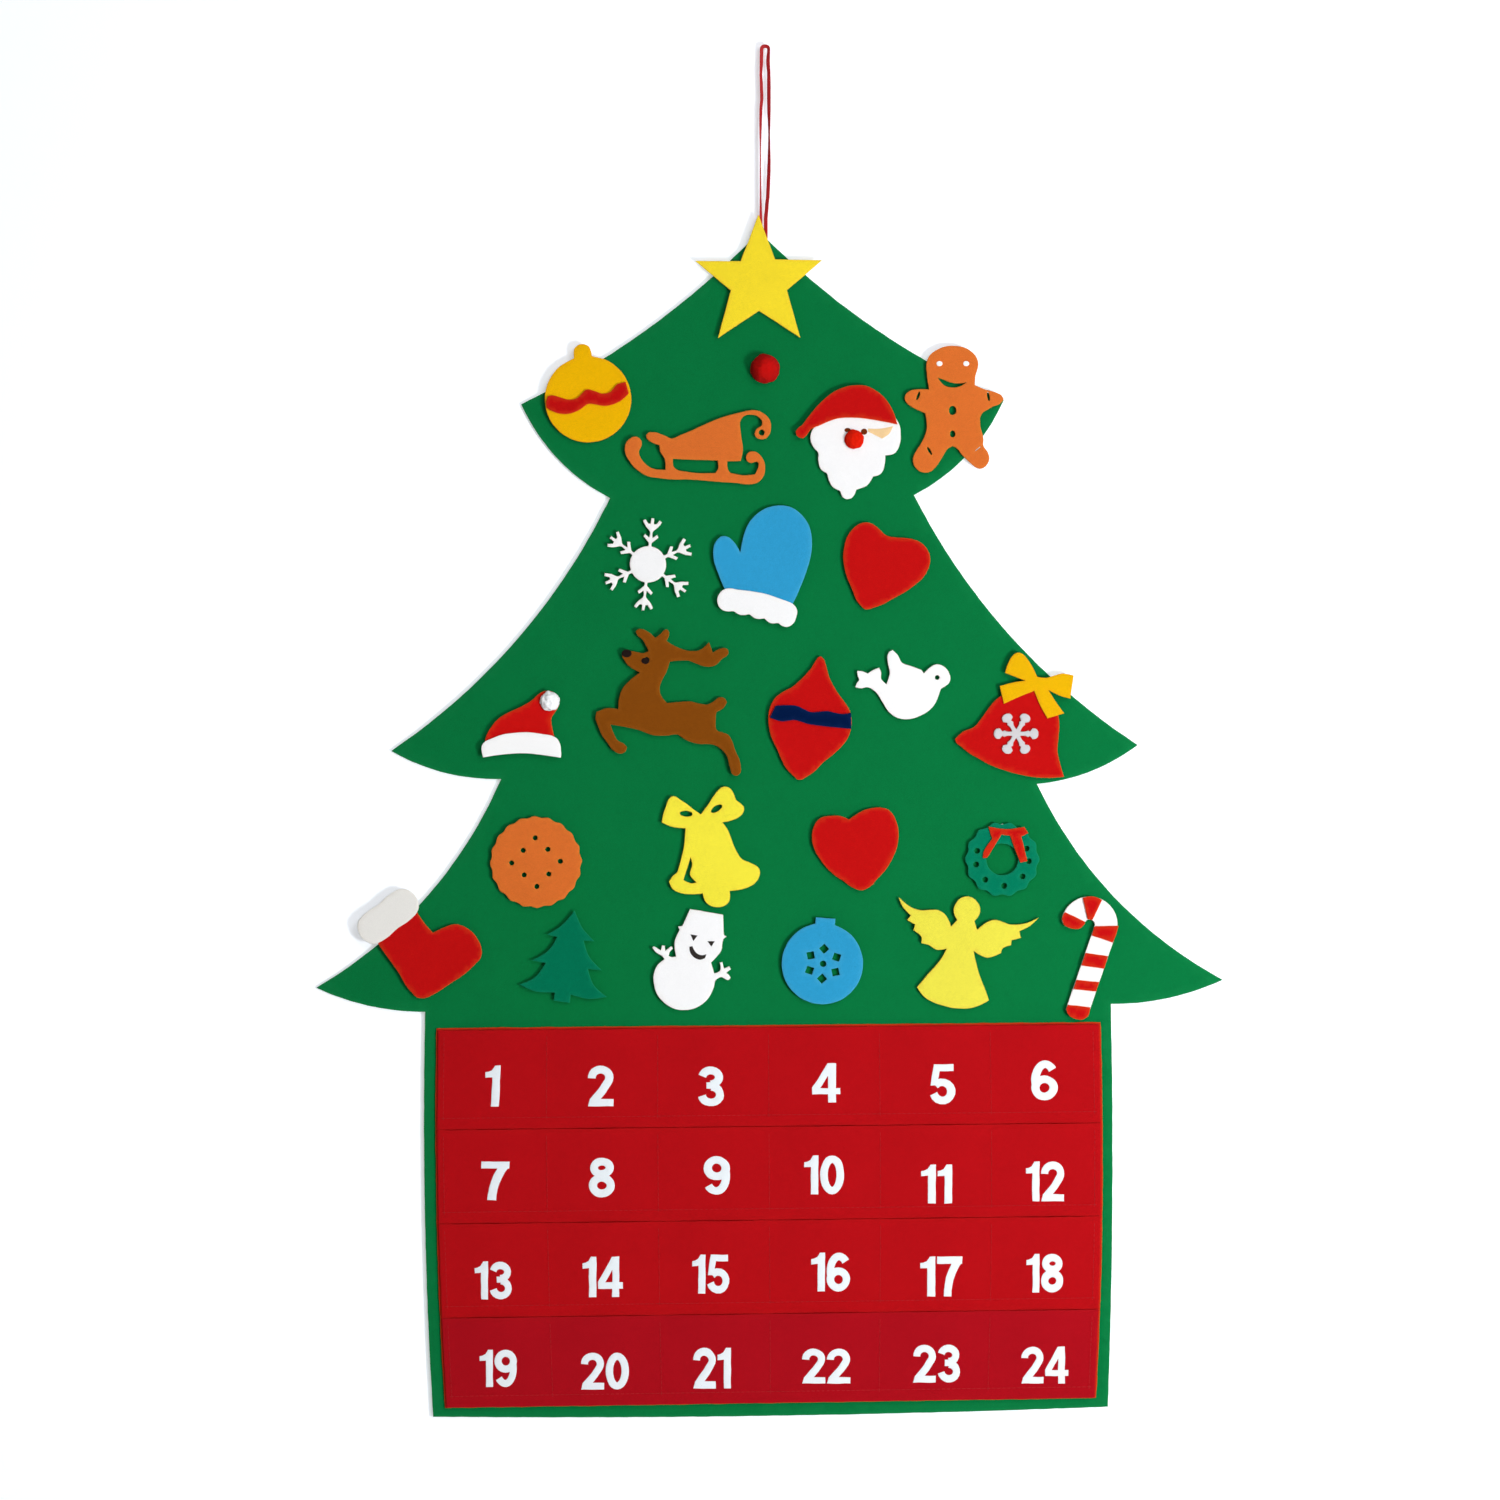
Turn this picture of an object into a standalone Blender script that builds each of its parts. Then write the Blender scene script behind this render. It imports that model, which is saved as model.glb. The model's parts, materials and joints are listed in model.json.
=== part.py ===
# Felt advent calendar that hangs on a wall: a fir tree cut from one felt sheet, with a red pocket
# field of four rows of six, 24 small felt ornaments on hook-tape dots, and a ribbon loop at the tip.
#
# Frame: metres, +Z up, the front faces -Y and the wall is on the +Y side.
# The origin is the top of the ribbon loop, where the nail bears. Everything hangs below it.
#
# Names that end in share or shares are parts of the size that they follow. In an outline they run
# from -0.5 to 0.5 across the piece's own width and height, and a point marked sharp is a corner.

import math

import bmesh
import bpy
from mathutils import Matrix, Vector

for leftover in list(bpy.data.objects):
    bpy.data.objects.remove(leftover)

sharp = "sharp"

# Materials and seating
felt_gap = 0.0003
weld_distance = 0.00001
panel_thickness = 0.002
backing_thickness = 0.0012
strip_thickness = 0.0012
ornament_thickness = 0.002
trim_thickness = 0.0012
dot_width = 0.014
dot_thickness = 0.0015
dot_root_share = 0.5

# Fir tree sheet
tree_height = 0.947
tip_below_nail = 0.1504
tier_half_widths = [0.193, 0.2985, 0.363]
tier_drops = [0.135, 0.412, 0.601]
waist_half_widths = [0.1215, 0.2145, 0.2745]
waist_drops = [0.211, 0.4385, 0.62]
foot_half_width = 0.271
slope_bow_shares = [0.047, 0.066, 0.08]
hem_bow_shares = [0.085, 0.07, 0.055]
slope_steps = 7
hem_steps = 4

# Pocket field
field_width = 0.528
field_above_foot = 0.0075
pocket_rows = 4
pockets_per_row = 6
row_height = 0.0748
row_gap = 0.001
field_top_margin = 0.0015
side_hem = 0.004
pocket_belly = 0.007
across_station_shares = [0, 0.03, 0.13, 0.33, 0.67, 0.87, 0.97]
across_fullness_shares = [0, 0, 0.72, 0.97, 0.97, 0.72, 0]
down_station_shares = [0, 0.4, 0.75, 0.95, 1]
down_fullness_shares = [1, 0.93, 0.6, 0, 0]

# Ribbon loop
ribbon_width = 0.0032
ribbon_thickness = 0.0006
strand_spread_top = 0.0034
strand_spread_tail = 0.0026
tail_on_tree = 0.0275
crown_steps = 6
strand_steps = 9

# Planes from the ribbon forwards, each piece a felt gap in front of the one that carries it
panel_front = ribbon_thickness / 2 + felt_gap
backing_back = panel_front - felt_gap
strip_back = backing_back - backing_thickness - felt_gap
ornament_back = panel_front - felt_gap - dot_thickness
ornament_front = ornament_back - ornament_thickness
trim_back = ornament_front - felt_gap

# Where each ornament's centre lies: across as a share of the tree's full width from its middle,
# down as a share of the way from its tip to the pocket field's top
place_shares = {
    "star": (-0.008, 0.0613),
    "red_ball": (-0.001, 0.1712),
    "yellow_bauble": (-0.196, 0.2098),
    "sleigh": (-0.075, 0.27),
    "santa": (0.0985, 0.273),
    "gingerbread": (0.207, 0.2224),
    "snowflake": (-0.13, 0.4178),
    "mitten": (-0.004, 0.4104),
    "heart_upper": (0.1333, 0.4197),
    "hat": (-0.269, 0.6154),
    "reindeer": (-0.1075, 0.5916),
    "drop_bauble": (0.048, 0.6116),
    "dove": (0.15, 0.5686),
    "red_bell": (0.268, 0.631),
    "cookie": (-0.2533, 0.7927),
    "yellow_bell": (-0.061, 0.7736),
    "heart_lower": (0.0983, 0.7763),
    "wreath": (0.26, 0.7892),
    "stocking": (-0.3735, 0.9021),
    "small_tree": (-0.218, 0.911),
    "snowman": (-0.082, 0.9154),
    "blue_bauble": (0.062, 0.9206),
    "angel": (0.223, 0.9065),
    "candy_cane": (0.3561, 0.9125),
}

# Felt colours, red green blue
green_felt = (0.0, 0.16, 0.033)
red_felt = (0.46, 0.006, 0.01)
white_felt = (0.86, 0.86, 0.88)
yellow_felt = (0.95, 0.72, 0.03)
amber_felt = (0.91, 0.52, 0.007)
pale_yellow_felt = (0.92, 0.78, 0.09)
brown_felt = (0.69, 0.145, 0.022)
dark_brown_felt = (0.22, 0.06, 0.003)
blue_felt = (0.04, 0.33, 0.68)
navy_felt = (0.001, 0.017, 0.09)
teal_felt = (0.0, 0.16, 0.11)
felt_roughness = 0.95
satin_roughness = 0.45

part_collection = bpy.data.collections.new("felt_advent_calendar")
cutter_collection = bpy.data.collections.new("cutters")
bpy.context.scene.collection.children.link(part_collection)
bpy.context.scene.collection.children.link(cutter_collection)


def own_material(thing, colour, roughness):
    material = bpy.data.materials.new(thing.name + "_material")
    material.use_nodes = True
    shader = material.node_tree.nodes["Principled BSDF"]
    shader.inputs["Base Color"].default_value = (*colour, 1)
    shader.inputs["Roughness"].default_value = roughness
    shader.inputs["Metallic"].default_value = 0
    thing.data.materials.clear()
    thing.data.materials.append(material)


def as_closed_mesh(curve_object):
    # the curve's evaluated form, its caps welded to its walls
    name = curve_object.name
    curve_object.name = name + "_curve"
    graph = bpy.context.evaluated_depsgraph_get()
    mesh = bpy.data.meshes.new_from_object(curve_object.evaluated_get(graph))
    shape = bmesh.new()
    shape.from_mesh(mesh)
    bmesh.ops.remove_doubles(shape, verts=shape.verts, dist=weld_distance)
    bmesh.ops.recalc_face_normals(shape, faces=shape.faces)
    shape.to_mesh(mesh)
    shape.free()
    piece = bpy.data.objects.new(name, mesh)
    part_collection.objects.link(piece)
    piece.matrix_world = curve_object.matrix_world.copy()
    bpy.data.objects.remove(curve_object)
    return piece


def cut_felt(name, outlines, centre, back, thickness, colour, turn=0, steps=2):
    # a flat piece cut from sheet: outlines are lists of (x, z) or (x, z, sharp) in metres
    curve = bpy.data.curves.new(name, "CURVE")
    curve.dimensions = "2D"
    curve.fill_mode = "BOTH"
    curve.extrude = thickness / 2
    curve.resolution_u = steps
    for outline in outlines:
        spline = curve.splines.new("BEZIER")
        spline.bezier_points.add(len(outline) - 1)
        for knot, point in zip(spline.bezier_points, outline):
            knot.co = (point[0], point[1], 0)
            handle = "VECTOR" if sharp in point else "AUTO"
            knot.handle_left_type = handle
            knot.handle_right_type = handle
        spline.use_cyclic_u = True
    curve_object = bpy.data.objects.new(name, curve)
    part_collection.objects.link(curve_object)
    curve_object.location = (centre[0], back - thickness / 2, centre[1])
    curve_object.rotation_euler = (math.radians(90), math.radians(-turn), 0)
    bpy.context.view_layer.update()
    piece = as_closed_mesh(curve_object)
    own_material(piece, colour, felt_roughness)
    return piece


def sized(shares, width, height):
    return [(point[0] * width, point[1] * height, *point[2:]) for point in shares]


def mirrored(half_shares):
    # the right half runs from the top of the axis to its foot, the left half runs back up
    left = [(-point[0], *point[1:]) for point in reversed(half_shares) if point[0] > 0]
    return half_shares + left


def corners(points):
    return [(point[0], point[1], sharp) for point in points]


def ring(radius, count, centre=(0, 0), wave=0, waves=0, stretch=1, lean=0):
    # a round outline, with a wavy edge where wave is given, or an oval leaning by some degrees
    points = []
    for step in range(count):
        angle = math.tau * step / count
        reach = radius + wave * math.cos(waves * angle)
        x = reach * math.cos(angle)
        z = reach * stretch * math.sin(angle)
        tilt = math.radians(lean)
        across = x * math.cos(tilt) - z * math.sin(tilt)
        up = x * math.sin(tilt) + z * math.cos(tilt)
        points.append((centre[0] + across, centre[1] + up))
    return points


def place(name):
    across_share, down_share = place_shares[name]
    full_width = 2 * tier_half_widths[-1]
    way_down = -tip_below_nail - field_top
    return (across_share * full_width, field_top + (1 - down_share) * way_down)


def at(name, shares, width, height):
    # a spot on an ornament, as shares of the size given
    across, up = place(name)
    return (across + shares[0] * width, up + shares[1] * height)


def add_dot(piece, spot):
    # hook-tape dot on an ornament's back, its root let into the felt
    root = dot_root_share * ornament_thickness
    depth = dot_thickness + root
    shape = bmesh.new()
    upright = Matrix.Rotation(math.radians(90), 4, "X")
    bmesh.ops.create_cone(shape, cap_ends=True, segments=16, radius1=dot_width / 2,
                          radius2=dot_width / 2, depth=depth, matrix=upright)
    mesh = bpy.data.meshes.new(piece.name + "_dot")
    shape.to_mesh(mesh)
    shape.free()
    dot = bpy.data.objects.new(piece.name + "_dot", mesh)
    cutter_collection.objects.link(dot)
    dot.location = (spot[0], ornament_back - root + depth / 2, spot[1])
    dot.hide_render = True
    dot.display_type = "WIRE"
    union = piece.modifiers.new("dot", "BOOLEAN")
    union.operation = "UNION"
    union.solver = "EXACT"
    union.object = dot


def dome(name, centre, back, width, depth, colour, segments=14):
    # a small felted ball pressed flatter than it is wide
    shape = bmesh.new()
    squash = Matrix.Diagonal((width / 2, depth / 2, width / 2, 1))
    turn = Matrix.Rotation(math.radians(90), 4, "X")
    bmesh.ops.create_uvsphere(shape, u_segments=segments, v_segments=segments // 2 + 1, radius=1,
                              matrix=squash @ turn)
    mesh = bpy.data.meshes.new(name)
    shape.to_mesh(mesh)
    shape.free()
    mesh.shade_smooth()
    piece = bpy.data.objects.new(name, mesh)
    part_collection.objects.link(piece)
    piece.location = (centre[0], back - depth / 2, centre[1])
    own_material(piece, colour, felt_roughness)
    return piece


# Fir tree outlines

def bowed_edge(start, end, bow_share, steps):
    # points from start up to but without end, bowed to the left of the way from start to end
    way = Vector(end) - Vector(start)
    side = Vector((-way.y, way.x))
    points = []
    for step in range(steps):
        part = step / steps
        middle = Vector(start) + way * part
        points.append(tuple(middle + side * (4 * bow_share * part * (1 - part))))
    return points


def tree_half(tips, waists, foot_width, foot_drop):
    # from the tip down the right side, tiers of (half width, drop)
    points = []
    start = (0, 0)
    edges = zip(tips, waists, slope_bow_shares, hem_bow_shares)
    for tip, waist, slope_bow_share, hem_bow_share in edges:
        corner = (tip[0], -tip[1])
        inner = (waist[0], -waist[1])
        points += bowed_edge(start, corner, -slope_bow_share, slope_steps)
        points += bowed_edge(corner, inner, hem_bow_share, hem_steps)
        start = inner
    points.append(start)
    points.append((foot_width, -foot_drop))
    return points


def make_tree_panel():
    tips = list(zip(tier_half_widths, tier_drops))
    waists = list(zip(waist_half_widths, waist_drops))
    half = tree_half(tips, waists, foot_half_width, tree_height)
    outline = corners(mirrored(half))
    cut_felt("tree_panel", [outline], (0, -tip_below_nail), panel_front + panel_thickness,
             panel_thickness, green_felt, steps=1)


# Pocket field

row_pitch = row_height + row_gap
field_height = pocket_rows * row_pitch + field_top_margin
field_foot = -tip_below_nail - tree_height + field_above_foot
field_top = field_foot + field_height
pocket_pitch = (field_width - 2 * side_hem) / pockets_per_row


def make_pocket_backing():
    half_width = field_width / 2
    half_height = field_height / 2
    outline = [(-half_width, -half_height, sharp), (half_width, -half_height, sharp),
               (half_width, half_height, sharp), (-half_width, half_height, sharp)]
    cut_felt("pocket_backing", [outline], (0, field_foot + half_height), backing_back,
             backing_thickness, red_felt, steps=1)


def column_line(column):
    # where one upright line of the strip lies, and how full the pocket is there
    last = pockets_per_row * len(across_station_shares) + 2
    if column == 0:
        return -field_width / 2, 0
    if column == last:
        return field_width / 2, 0
    pocket, station = divmod(column - 1, len(across_station_shares))
    across = side_hem + (pocket + across_station_shares[station]) * pocket_pitch
    return across - field_width / 2, across_fullness_shares[station]


def make_pocket_row(row):
    # one strip, sewn flat at its ends, its foot and between pockets, bellied and open at the top
    columns = pockets_per_row * len(across_station_shares) + 2
    rows = len(down_station_shares) - 1
    top = field_top - field_top_margin - row * row_pitch
    shape = bmesh.new()
    bmesh.ops.create_grid(shape, x_segments=columns, y_segments=rows, size=0.5)
    for vertex in shape.verts:
        column = round((vertex.co.x + 0.5) * columns)
        line = round((0.5 - vertex.co.y) * rows)
        across, across_share = column_line(column)
        belly = pocket_belly * across_share * down_fullness_shares[line]
        vertex.co = (across, strip_back - belly, top - down_station_shares[line] * row_height)
    bmesh.ops.recalc_face_normals(shape, faces=shape.faces)
    mesh = bpy.data.meshes.new("pocket_row_" + str(row + 1))
    shape.to_mesh(mesh)
    shape.free()
    piece = bpy.data.objects.new(mesh.name, mesh)
    part_collection.objects.link(piece)
    wall = piece.modifiers.new("wall", "SOLIDIFY")
    wall.thickness = strip_thickness
    wall.offset = 1 if mesh.polygons[0].normal.y < 0 else -1
    own_material(piece, red_felt, felt_roughness)


# Ribbon loop

def ribbon_route():
    # up the left strand, over the nail, down the right one: (x, z, turn of the ribbon's face)
    foot = -tip_below_nail - tail_on_tree
    shoulder = -strand_spread_top
    left = []
    for step in range(strand_steps):
        part = step / strand_steps
        spread = strand_spread_tail + (strand_spread_top - strand_spread_tail) * min(1, 2 * part)
        turn = math.radians(90) * max(0, 2 * part - 1)
        left.append((-spread, foot + (shoulder - foot) * part, turn))
    crown = []
    for step in range(crown_steps + 1):
        angle = math.pi * (1 - step / crown_steps)
        x = strand_spread_top * math.cos(angle)
        z = shoulder + strand_spread_top * math.sin(angle)
        crown.append((x, z, math.radians(90)))
    right = [(-x, z, turn) for x, z, turn in reversed(left)]
    return left + crown + right


def make_hanging_loop():
    curve = bpy.data.curves.new("hanging_loop", "CURVE")
    curve.dimensions = "3D"
    curve.twist_mode = "MINIMUM"
    curve.extrude = (ribbon_width - ribbon_thickness) / 2
    curve.bevel_depth = ribbon_thickness / 2
    curve.bevel_resolution = 1
    curve.use_fill_caps = True
    route = ribbon_route()
    spline = curve.splines.new("POLY")
    spline.points.add(len(route) - 1)
    for point, (x, z, turn) in zip(spline.points, route):
        point.co = (x, 0, z, 1)
        point.tilt = turn
    curve_object = bpy.data.objects.new("hanging_loop", curve)
    part_collection.objects.link(curve_object)
    bpy.context.view_layer.update()
    piece = as_closed_mesh(curve_object)
    own_material(piece, red_felt, satin_roughness)


# Star

star_reach = 0.0534
star_inner_reach = 0.0236
leg_reach_share = 1.05
star_turn = 0.3


def make_star():
    points = []
    for step in range(10):
        reach = star_reach if step % 2 == 0 else star_inner_reach
        if step in (4, 6):
            reach *= leg_reach_share
        angle = math.radians(90 - 36 * step)
        points.append((reach * math.cos(angle), reach * math.sin(angle)))
    star = cut_felt("star", [corners(points)], place("star"), ornament_back, ornament_thickness,
                    yellow_felt, star_turn)
    add_dot(star, place("star"))


# Red felted ball

ball_width = 0.024
ball_depth = 0.015


def make_red_ball():
    ball = dome("red_ball", place("red_ball"), ornament_back, ball_width, ball_depth, red_felt, 16)
    add_dot(ball, place("red_ball"))


# Baubles: a round of felt with a cap

yellow_bauble_width = 0.069
yellow_bauble_turn = 7
yellow_cap_width = 0.0145
yellow_cap_height = 0.0098
blue_bauble_width = 0.0648
blue_bauble_turn = -4
blue_cap_width = 0.0156
blue_cap_height = 0.0041
cutout_share = 0.25
cutout_shift_share = 0.008
cutout_middle_share = 0.16
lozenge_root_share = 0.48
lozenge_waist_share = 0.74
lozenge_side_share = 0.25
blue_dot_shares = (0, -0.375)
# the band's outline, across and up from the round's centre as shares of its width
band_outline_shares = [
    (-0.465, 0.029), (-0.372, 0.035), (-0.233, -0.006), (-0.117, 0.017), (-0.013, 0.11),
    (0.161, 0.064), (0.266, 0.087), (0.335, 0.168), (0.439, 0.197, sharp), (0.474, 0.064, sharp),
    (0.37, -0.029), (0.184, -0.081), (-0.001, -0.058), (-0.071, -0.11), (-0.245, -0.174),
    (-0.419, -0.139), (-0.48, -0.1, sharp),
]


def bauble_outline(width, cap_width, cap_height, rounded_cap):
    radius = width / 2
    half_cap = cap_width / 2
    start = math.asin(half_cap / radius)
    arc_steps = 18
    points = []
    for step in range(arc_steps + 1):
        angle = start + (math.tau - 2 * start) * step / arc_steps
        mark = (sharp,) if step in (0, arc_steps) else ()
        points.append((radius * math.sin(angle), radius * math.cos(angle), *mark))
    top = radius + cap_height
    if rounded_cap:
        for step in range(1, 6):
            angle = math.pi * step / 6
            lift = half_cap * math.sin(angle)
            points.append((-half_cap * math.cos(angle), top - half_cap + lift))
    else:
        points.append((-half_cap, top, sharp))
        points.append((half_cap, top, sharp))
    return points


def make_yellow_bauble():
    outline = bauble_outline(yellow_bauble_width, yellow_cap_width, yellow_cap_height, True)
    spot = place("yellow_bauble")
    bauble = cut_felt("yellow_bauble", [outline], spot, ornament_back, ornament_thickness,
                      amber_felt, yellow_bauble_turn)
    add_dot(bauble, spot)
    band = sized(band_outline_shares, yellow_bauble_width, yellow_bauble_width)
    cut_felt("yellow_bauble_band", [band], spot, trim_back, trim_thickness, red_felt)


def make_blue_bauble():
    # six lozenges and a middle are punched out as a snow crystal
    outline = bauble_outline(blue_bauble_width, blue_cap_width, blue_cap_height, False)
    reach = cutout_share * blue_bauble_width
    middle = Vector((cutout_shift_share * blue_bauble_width, 0))
    holes = [ring(reach * cutout_middle_share, 6, middle)]
    for arm in range(6):
        angle = math.tau * arm / 6
        out = Vector((math.sin(angle), math.cos(angle)))
        side = Vector((out.y, -out.x))
        tip = out * reach
        root = out * (reach * lozenge_root_share)
        waist = out * (reach * lozenge_waist_share)
        side *= reach * lozenge_side_share
        lozenge = [tip, waist + side, root, waist - side]
        holes.append(corners([tuple(middle + point) for point in lozenge]))
    spot = place("blue_bauble")
    bauble = cut_felt("blue_bauble", [outline] + holes, spot, ornament_back, ornament_thickness,
                      blue_felt, blue_bauble_turn)
    add_dot(bauble, at("blue_bauble", blue_dot_shares, blue_bauble_width, blue_bauble_width))


# Sleigh

sleigh_width = 0.118
sleigh_height = 0.0588
sleigh_dot_shares = (0.11, 0.14)
scroll_eye_width = 0.0048
sleigh_outline_shares = [
    (-0.44, 0.135), (-0.495, -0.01), (-0.46, -0.2), (-0.395, -0.335), (-0.315, -0.41),
    (-0.055, -0.44), (0.26, -0.49), (0.39, -0.495), (0.44, -0.41), (0.455, -0.27), (0.43, -0.13),
    (0.375, -0.06), (0.335, -0.09), (0.33, -0.18), (0.365, -0.215), (0.405, -0.2),
    (0.408, -0.275), (0.385, -0.375, sharp), (0.225, -0.355), (0.2, -0.28), (0.2, -0.195, sharp),
    (0.29, -0.19, sharp), (0.305, -0.025), (0.285, 0.3), (0.305, 0.41), (0.365, 0.44),
    (0.42, 0.39), (0.435, 0.3), (0.4, 0.25), (0.385, 0.16), (0.43, 0.105), (0.475, 0.145),
    (0.495, 0.265), (0.482, 0.38), (0.445, 0.455), (0.38, 0.5), (0.29, 0.47), (0.14, 0.385),
    (-0.055, 0.215), (-0.18, 0.115, sharp), (-0.25, 0.175), (-0.305, 0.2), (-0.35, 0.165),
    (-0.33, 0.085), (-0.26, 0.025, sharp), (-0.255, -0.065), (-0.225, -0.16),
    (-0.22, -0.31, sharp), (-0.295, -0.3), (-0.36, -0.22), (-0.4, -0.065), (-0.38, 0.03),
    (-0.395, 0.115),
]
sleigh_slot_shares = [
    (-0.17, -0.16, sharp), (0.133, -0.185, sharp), (0.137, -0.29), (0.117, -0.355, sharp),
    (-0.116, -0.325), (-0.163, -0.27),
]
scroll_eye_shares = (0.432, 0.197)


def make_sleigh():
    outline = sized(sleigh_outline_shares, sleigh_width, sleigh_height)
    slot = sized(sleigh_slot_shares, sleigh_width, sleigh_height)
    eye_at = (scroll_eye_shares[0] * sleigh_width, scroll_eye_shares[1] * sleigh_height)
    eye = ring(scroll_eye_width / 2, 6, eye_at)
    sleigh = cut_felt("sleigh", [outline, slot, eye], place("sleigh"), ornament_back,
                      ornament_thickness, brown_felt)
    add_dot(sleigh, at("sleigh", sleigh_dot_shares, sleigh_width, sleigh_height))


# Father Christmas: a white beard with a red hat and a felted nose on it

beard_width = 0.072
beard_height = 0.0796
santa_hat_width = 0.0816
santa_hat_height = 0.0426
santa_hat_shares = (-0.10, 0.375)
nose_width = 0.016
nose_depth = 0.006
nose_shares = (-0.015, 0.1)
beard_outline_shares = [
    (0, 0.48), (0.33, 0.4), (0.48, 0.26), (0.5, 0.15), (0.49, 0.05), (0.43, -0.04),
    (0.33, -0.06, sharp), (0.32, -0.17), (0.28, -0.245), (0.195, -0.27, sharp), (0.13, -0.36),
    (0.01, -0.405, sharp), (-0.02, -0.465), (-0.085, -0.5), (-0.14, -0.48), (-0.17, -0.42, sharp),
    (-0.26, -0.37), (-0.32, -0.24, sharp), (-0.39, -0.19), (-0.415, -0.03, sharp),
    (-0.485, 0.05), (-0.5, 0.14), (-0.45, 0.23), (-0.33, 0.38),
]
santa_hat_outline_shares = [
    (-0.5, -0.37), (-0.445, -0.495), (-0.4, -0.46), (-0.35, -0.33), (-0.26, -0.255),
    (-0.1, -0.13), (0.06, -0.11), (0.23, -0.14), (0.5, -0.235, sharp), (0.42, 0.14),
    (0.23, 0.46), (0.105, 0.5), (-0.025, 0.46), (-0.17, 0.315), (-0.38, -0.105), (-0.435, -0.25),
]


def make_santa():
    spot = place("santa")
    outline = sized(beard_outline_shares, beard_width, beard_height)
    beard = cut_felt("santa_beard", [outline], spot, ornament_back, ornament_thickness, white_felt)
    add_dot(beard, spot)
    hat = sized(santa_hat_outline_shares, santa_hat_width, santa_hat_height)
    cut_felt("santa_hat", [hat], at("santa", santa_hat_shares, beard_width, beard_height),
             trim_back, trim_thickness, red_felt)
    dome("santa_nose", at("santa", nose_shares, beard_width, beard_height), trim_back, nose_width,
         nose_depth, red_felt, 12)


# Gingerbread figure

gingerbread_width = 0.0796
gingerbread_height = 0.1013
gingerbread_dot_shares = (0.13, -0.1)
button_width = 0.0058
button_height_share = 1.3
button_shares = [(-0.015, -0.01, 1), (-0.015, -0.195, 0.76)]
slit_length = 0.0075
slit_width_share = 0.26
slit_shares = [(-0.36, 0.105, 70), (0.345, 0.1, 100), (-0.245, -0.33, 120), (0.29, -0.32, 60)]
gingerbread_outline_shares = [
    (-0.015, 0.5), (-0.17, 0.47), (-0.265, 0.4), (-0.275, 0.295), (-0.25, 0.155, sharp),
    (-0.38, 0.155), (-0.47, 0.13), (-0.495, 0.08), (-0.425, 0.02), (-0.29, -0.03, sharp),
    (-0.275, -0.15), (-0.33, -0.27), (-0.4, -0.36), (-0.4, -0.445), (-0.29, -0.5), (-0.2, -0.47),
    (-0.105, -0.36), (-0.015, -0.29), (0.07, -0.35), (0.165, -0.425), (0.265, -0.47),
    (0.355, -0.395), (0.31, -0.295), (0.285, -0.2), (0.26, -0.07), (0.29, -0.025, sharp),
    (0.385, 0.02), (0.5, 0.08), (0.425, 0.13), (0.315, 0.155), (0.21, 0.19, sharp),
    (0.215, 0.265), (0.245, 0.36), (0.175, 0.455),
]
smile_shares = [
    (-0.165, 0.25, sharp), (-0.11, 0.195), (-0.03, 0.17), (0.06, 0.18), (0.13, 0.215, sharp),
    (0.07, 0.205), (-0.03, 0.21), (-0.1, 0.232),
]


def make_gingerbread():
    width = gingerbread_width
    height = gingerbread_height
    outlines = [sized(gingerbread_outline_shares, width, height), sized(smile_shares, width, height)]
    for across_share, up_share, size_share in button_shares:
        spot = (across_share * width, up_share * height)
        radius = size_share * button_width / 2
        outlines.append(ring(radius, 6, spot, stretch=button_height_share))
    for across_share, up_share, lean in slit_shares:
        spot = (across_share * width, up_share * height)
        outlines.append(ring(slit_length / 2, 6, spot, stretch=slit_width_share, lean=lean))
    figure = cut_felt("gingerbread", outlines, place("gingerbread"), ornament_back,
                      ornament_thickness, brown_felt)
    add_dot(figure, at("gingerbread", gingerbread_dot_shares, width, height))


# Snow crystals: a hub with six forked arms

crystal_reach = 0.037
crystal_hub_width = 0.029
crystal_turn = -6
bell_crystal_reach = 0.0175
bell_crystal_hub_width = 0.008
bell_crystal_turn = 30
# half of one arm, from the hub to the tip: (along, across) as shares of its reach
arm_half_shares = [
    (0.47, 0.035), (0.6, 0.165), (0.65, 0.13), (0.575, 0.035), (0.7, 0.03), (0.81, 0.13),
    (0.93, 0.205), (0.965, 0.155), (0.875, 0.085), (0.88, 0.035), (1, 0.028),
]
stout_arm_half_shares = [(0.42, 0.1), (0.54, 0.15), (0.63, 0.1), (0.74, 0.24), (0.9, 0.23), (1, 0.1)]


def crystal_outline(reach, hub_width, half_shares):
    hub = hub_width / 2
    root = half_shares[0][1] * reach
    along_root = math.sqrt(hub * hub - root * root)
    arm = [(along_root, root)] + [(along * reach, across * reach) for along, across in half_shares]
    arm += [(along, -across) for along, across in reversed(arm)]
    points = []
    for index in range(6):
        angle = math.radians(90 - 60 * index)
        for along, across in arm:
            x = along * math.cos(angle) - across * math.sin(angle)
            z = along * math.sin(angle) + across * math.cos(angle)
            points.append((x, z, sharp))
        for step in (1, 2):
            between = math.radians(90 - 60 * index - 20 * step)
            points.append((hub * math.cos(between), hub * math.sin(between), sharp))
    return points


def make_snowflake():
    outline = crystal_outline(crystal_reach, crystal_hub_width, arm_half_shares)
    spot = place("snowflake")
    flake = cut_felt("snowflake", [outline], spot, ornament_back, ornament_thickness, white_felt,
                     crystal_turn, steps=1)
    add_dot(flake, spot)


# Mitten

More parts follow.
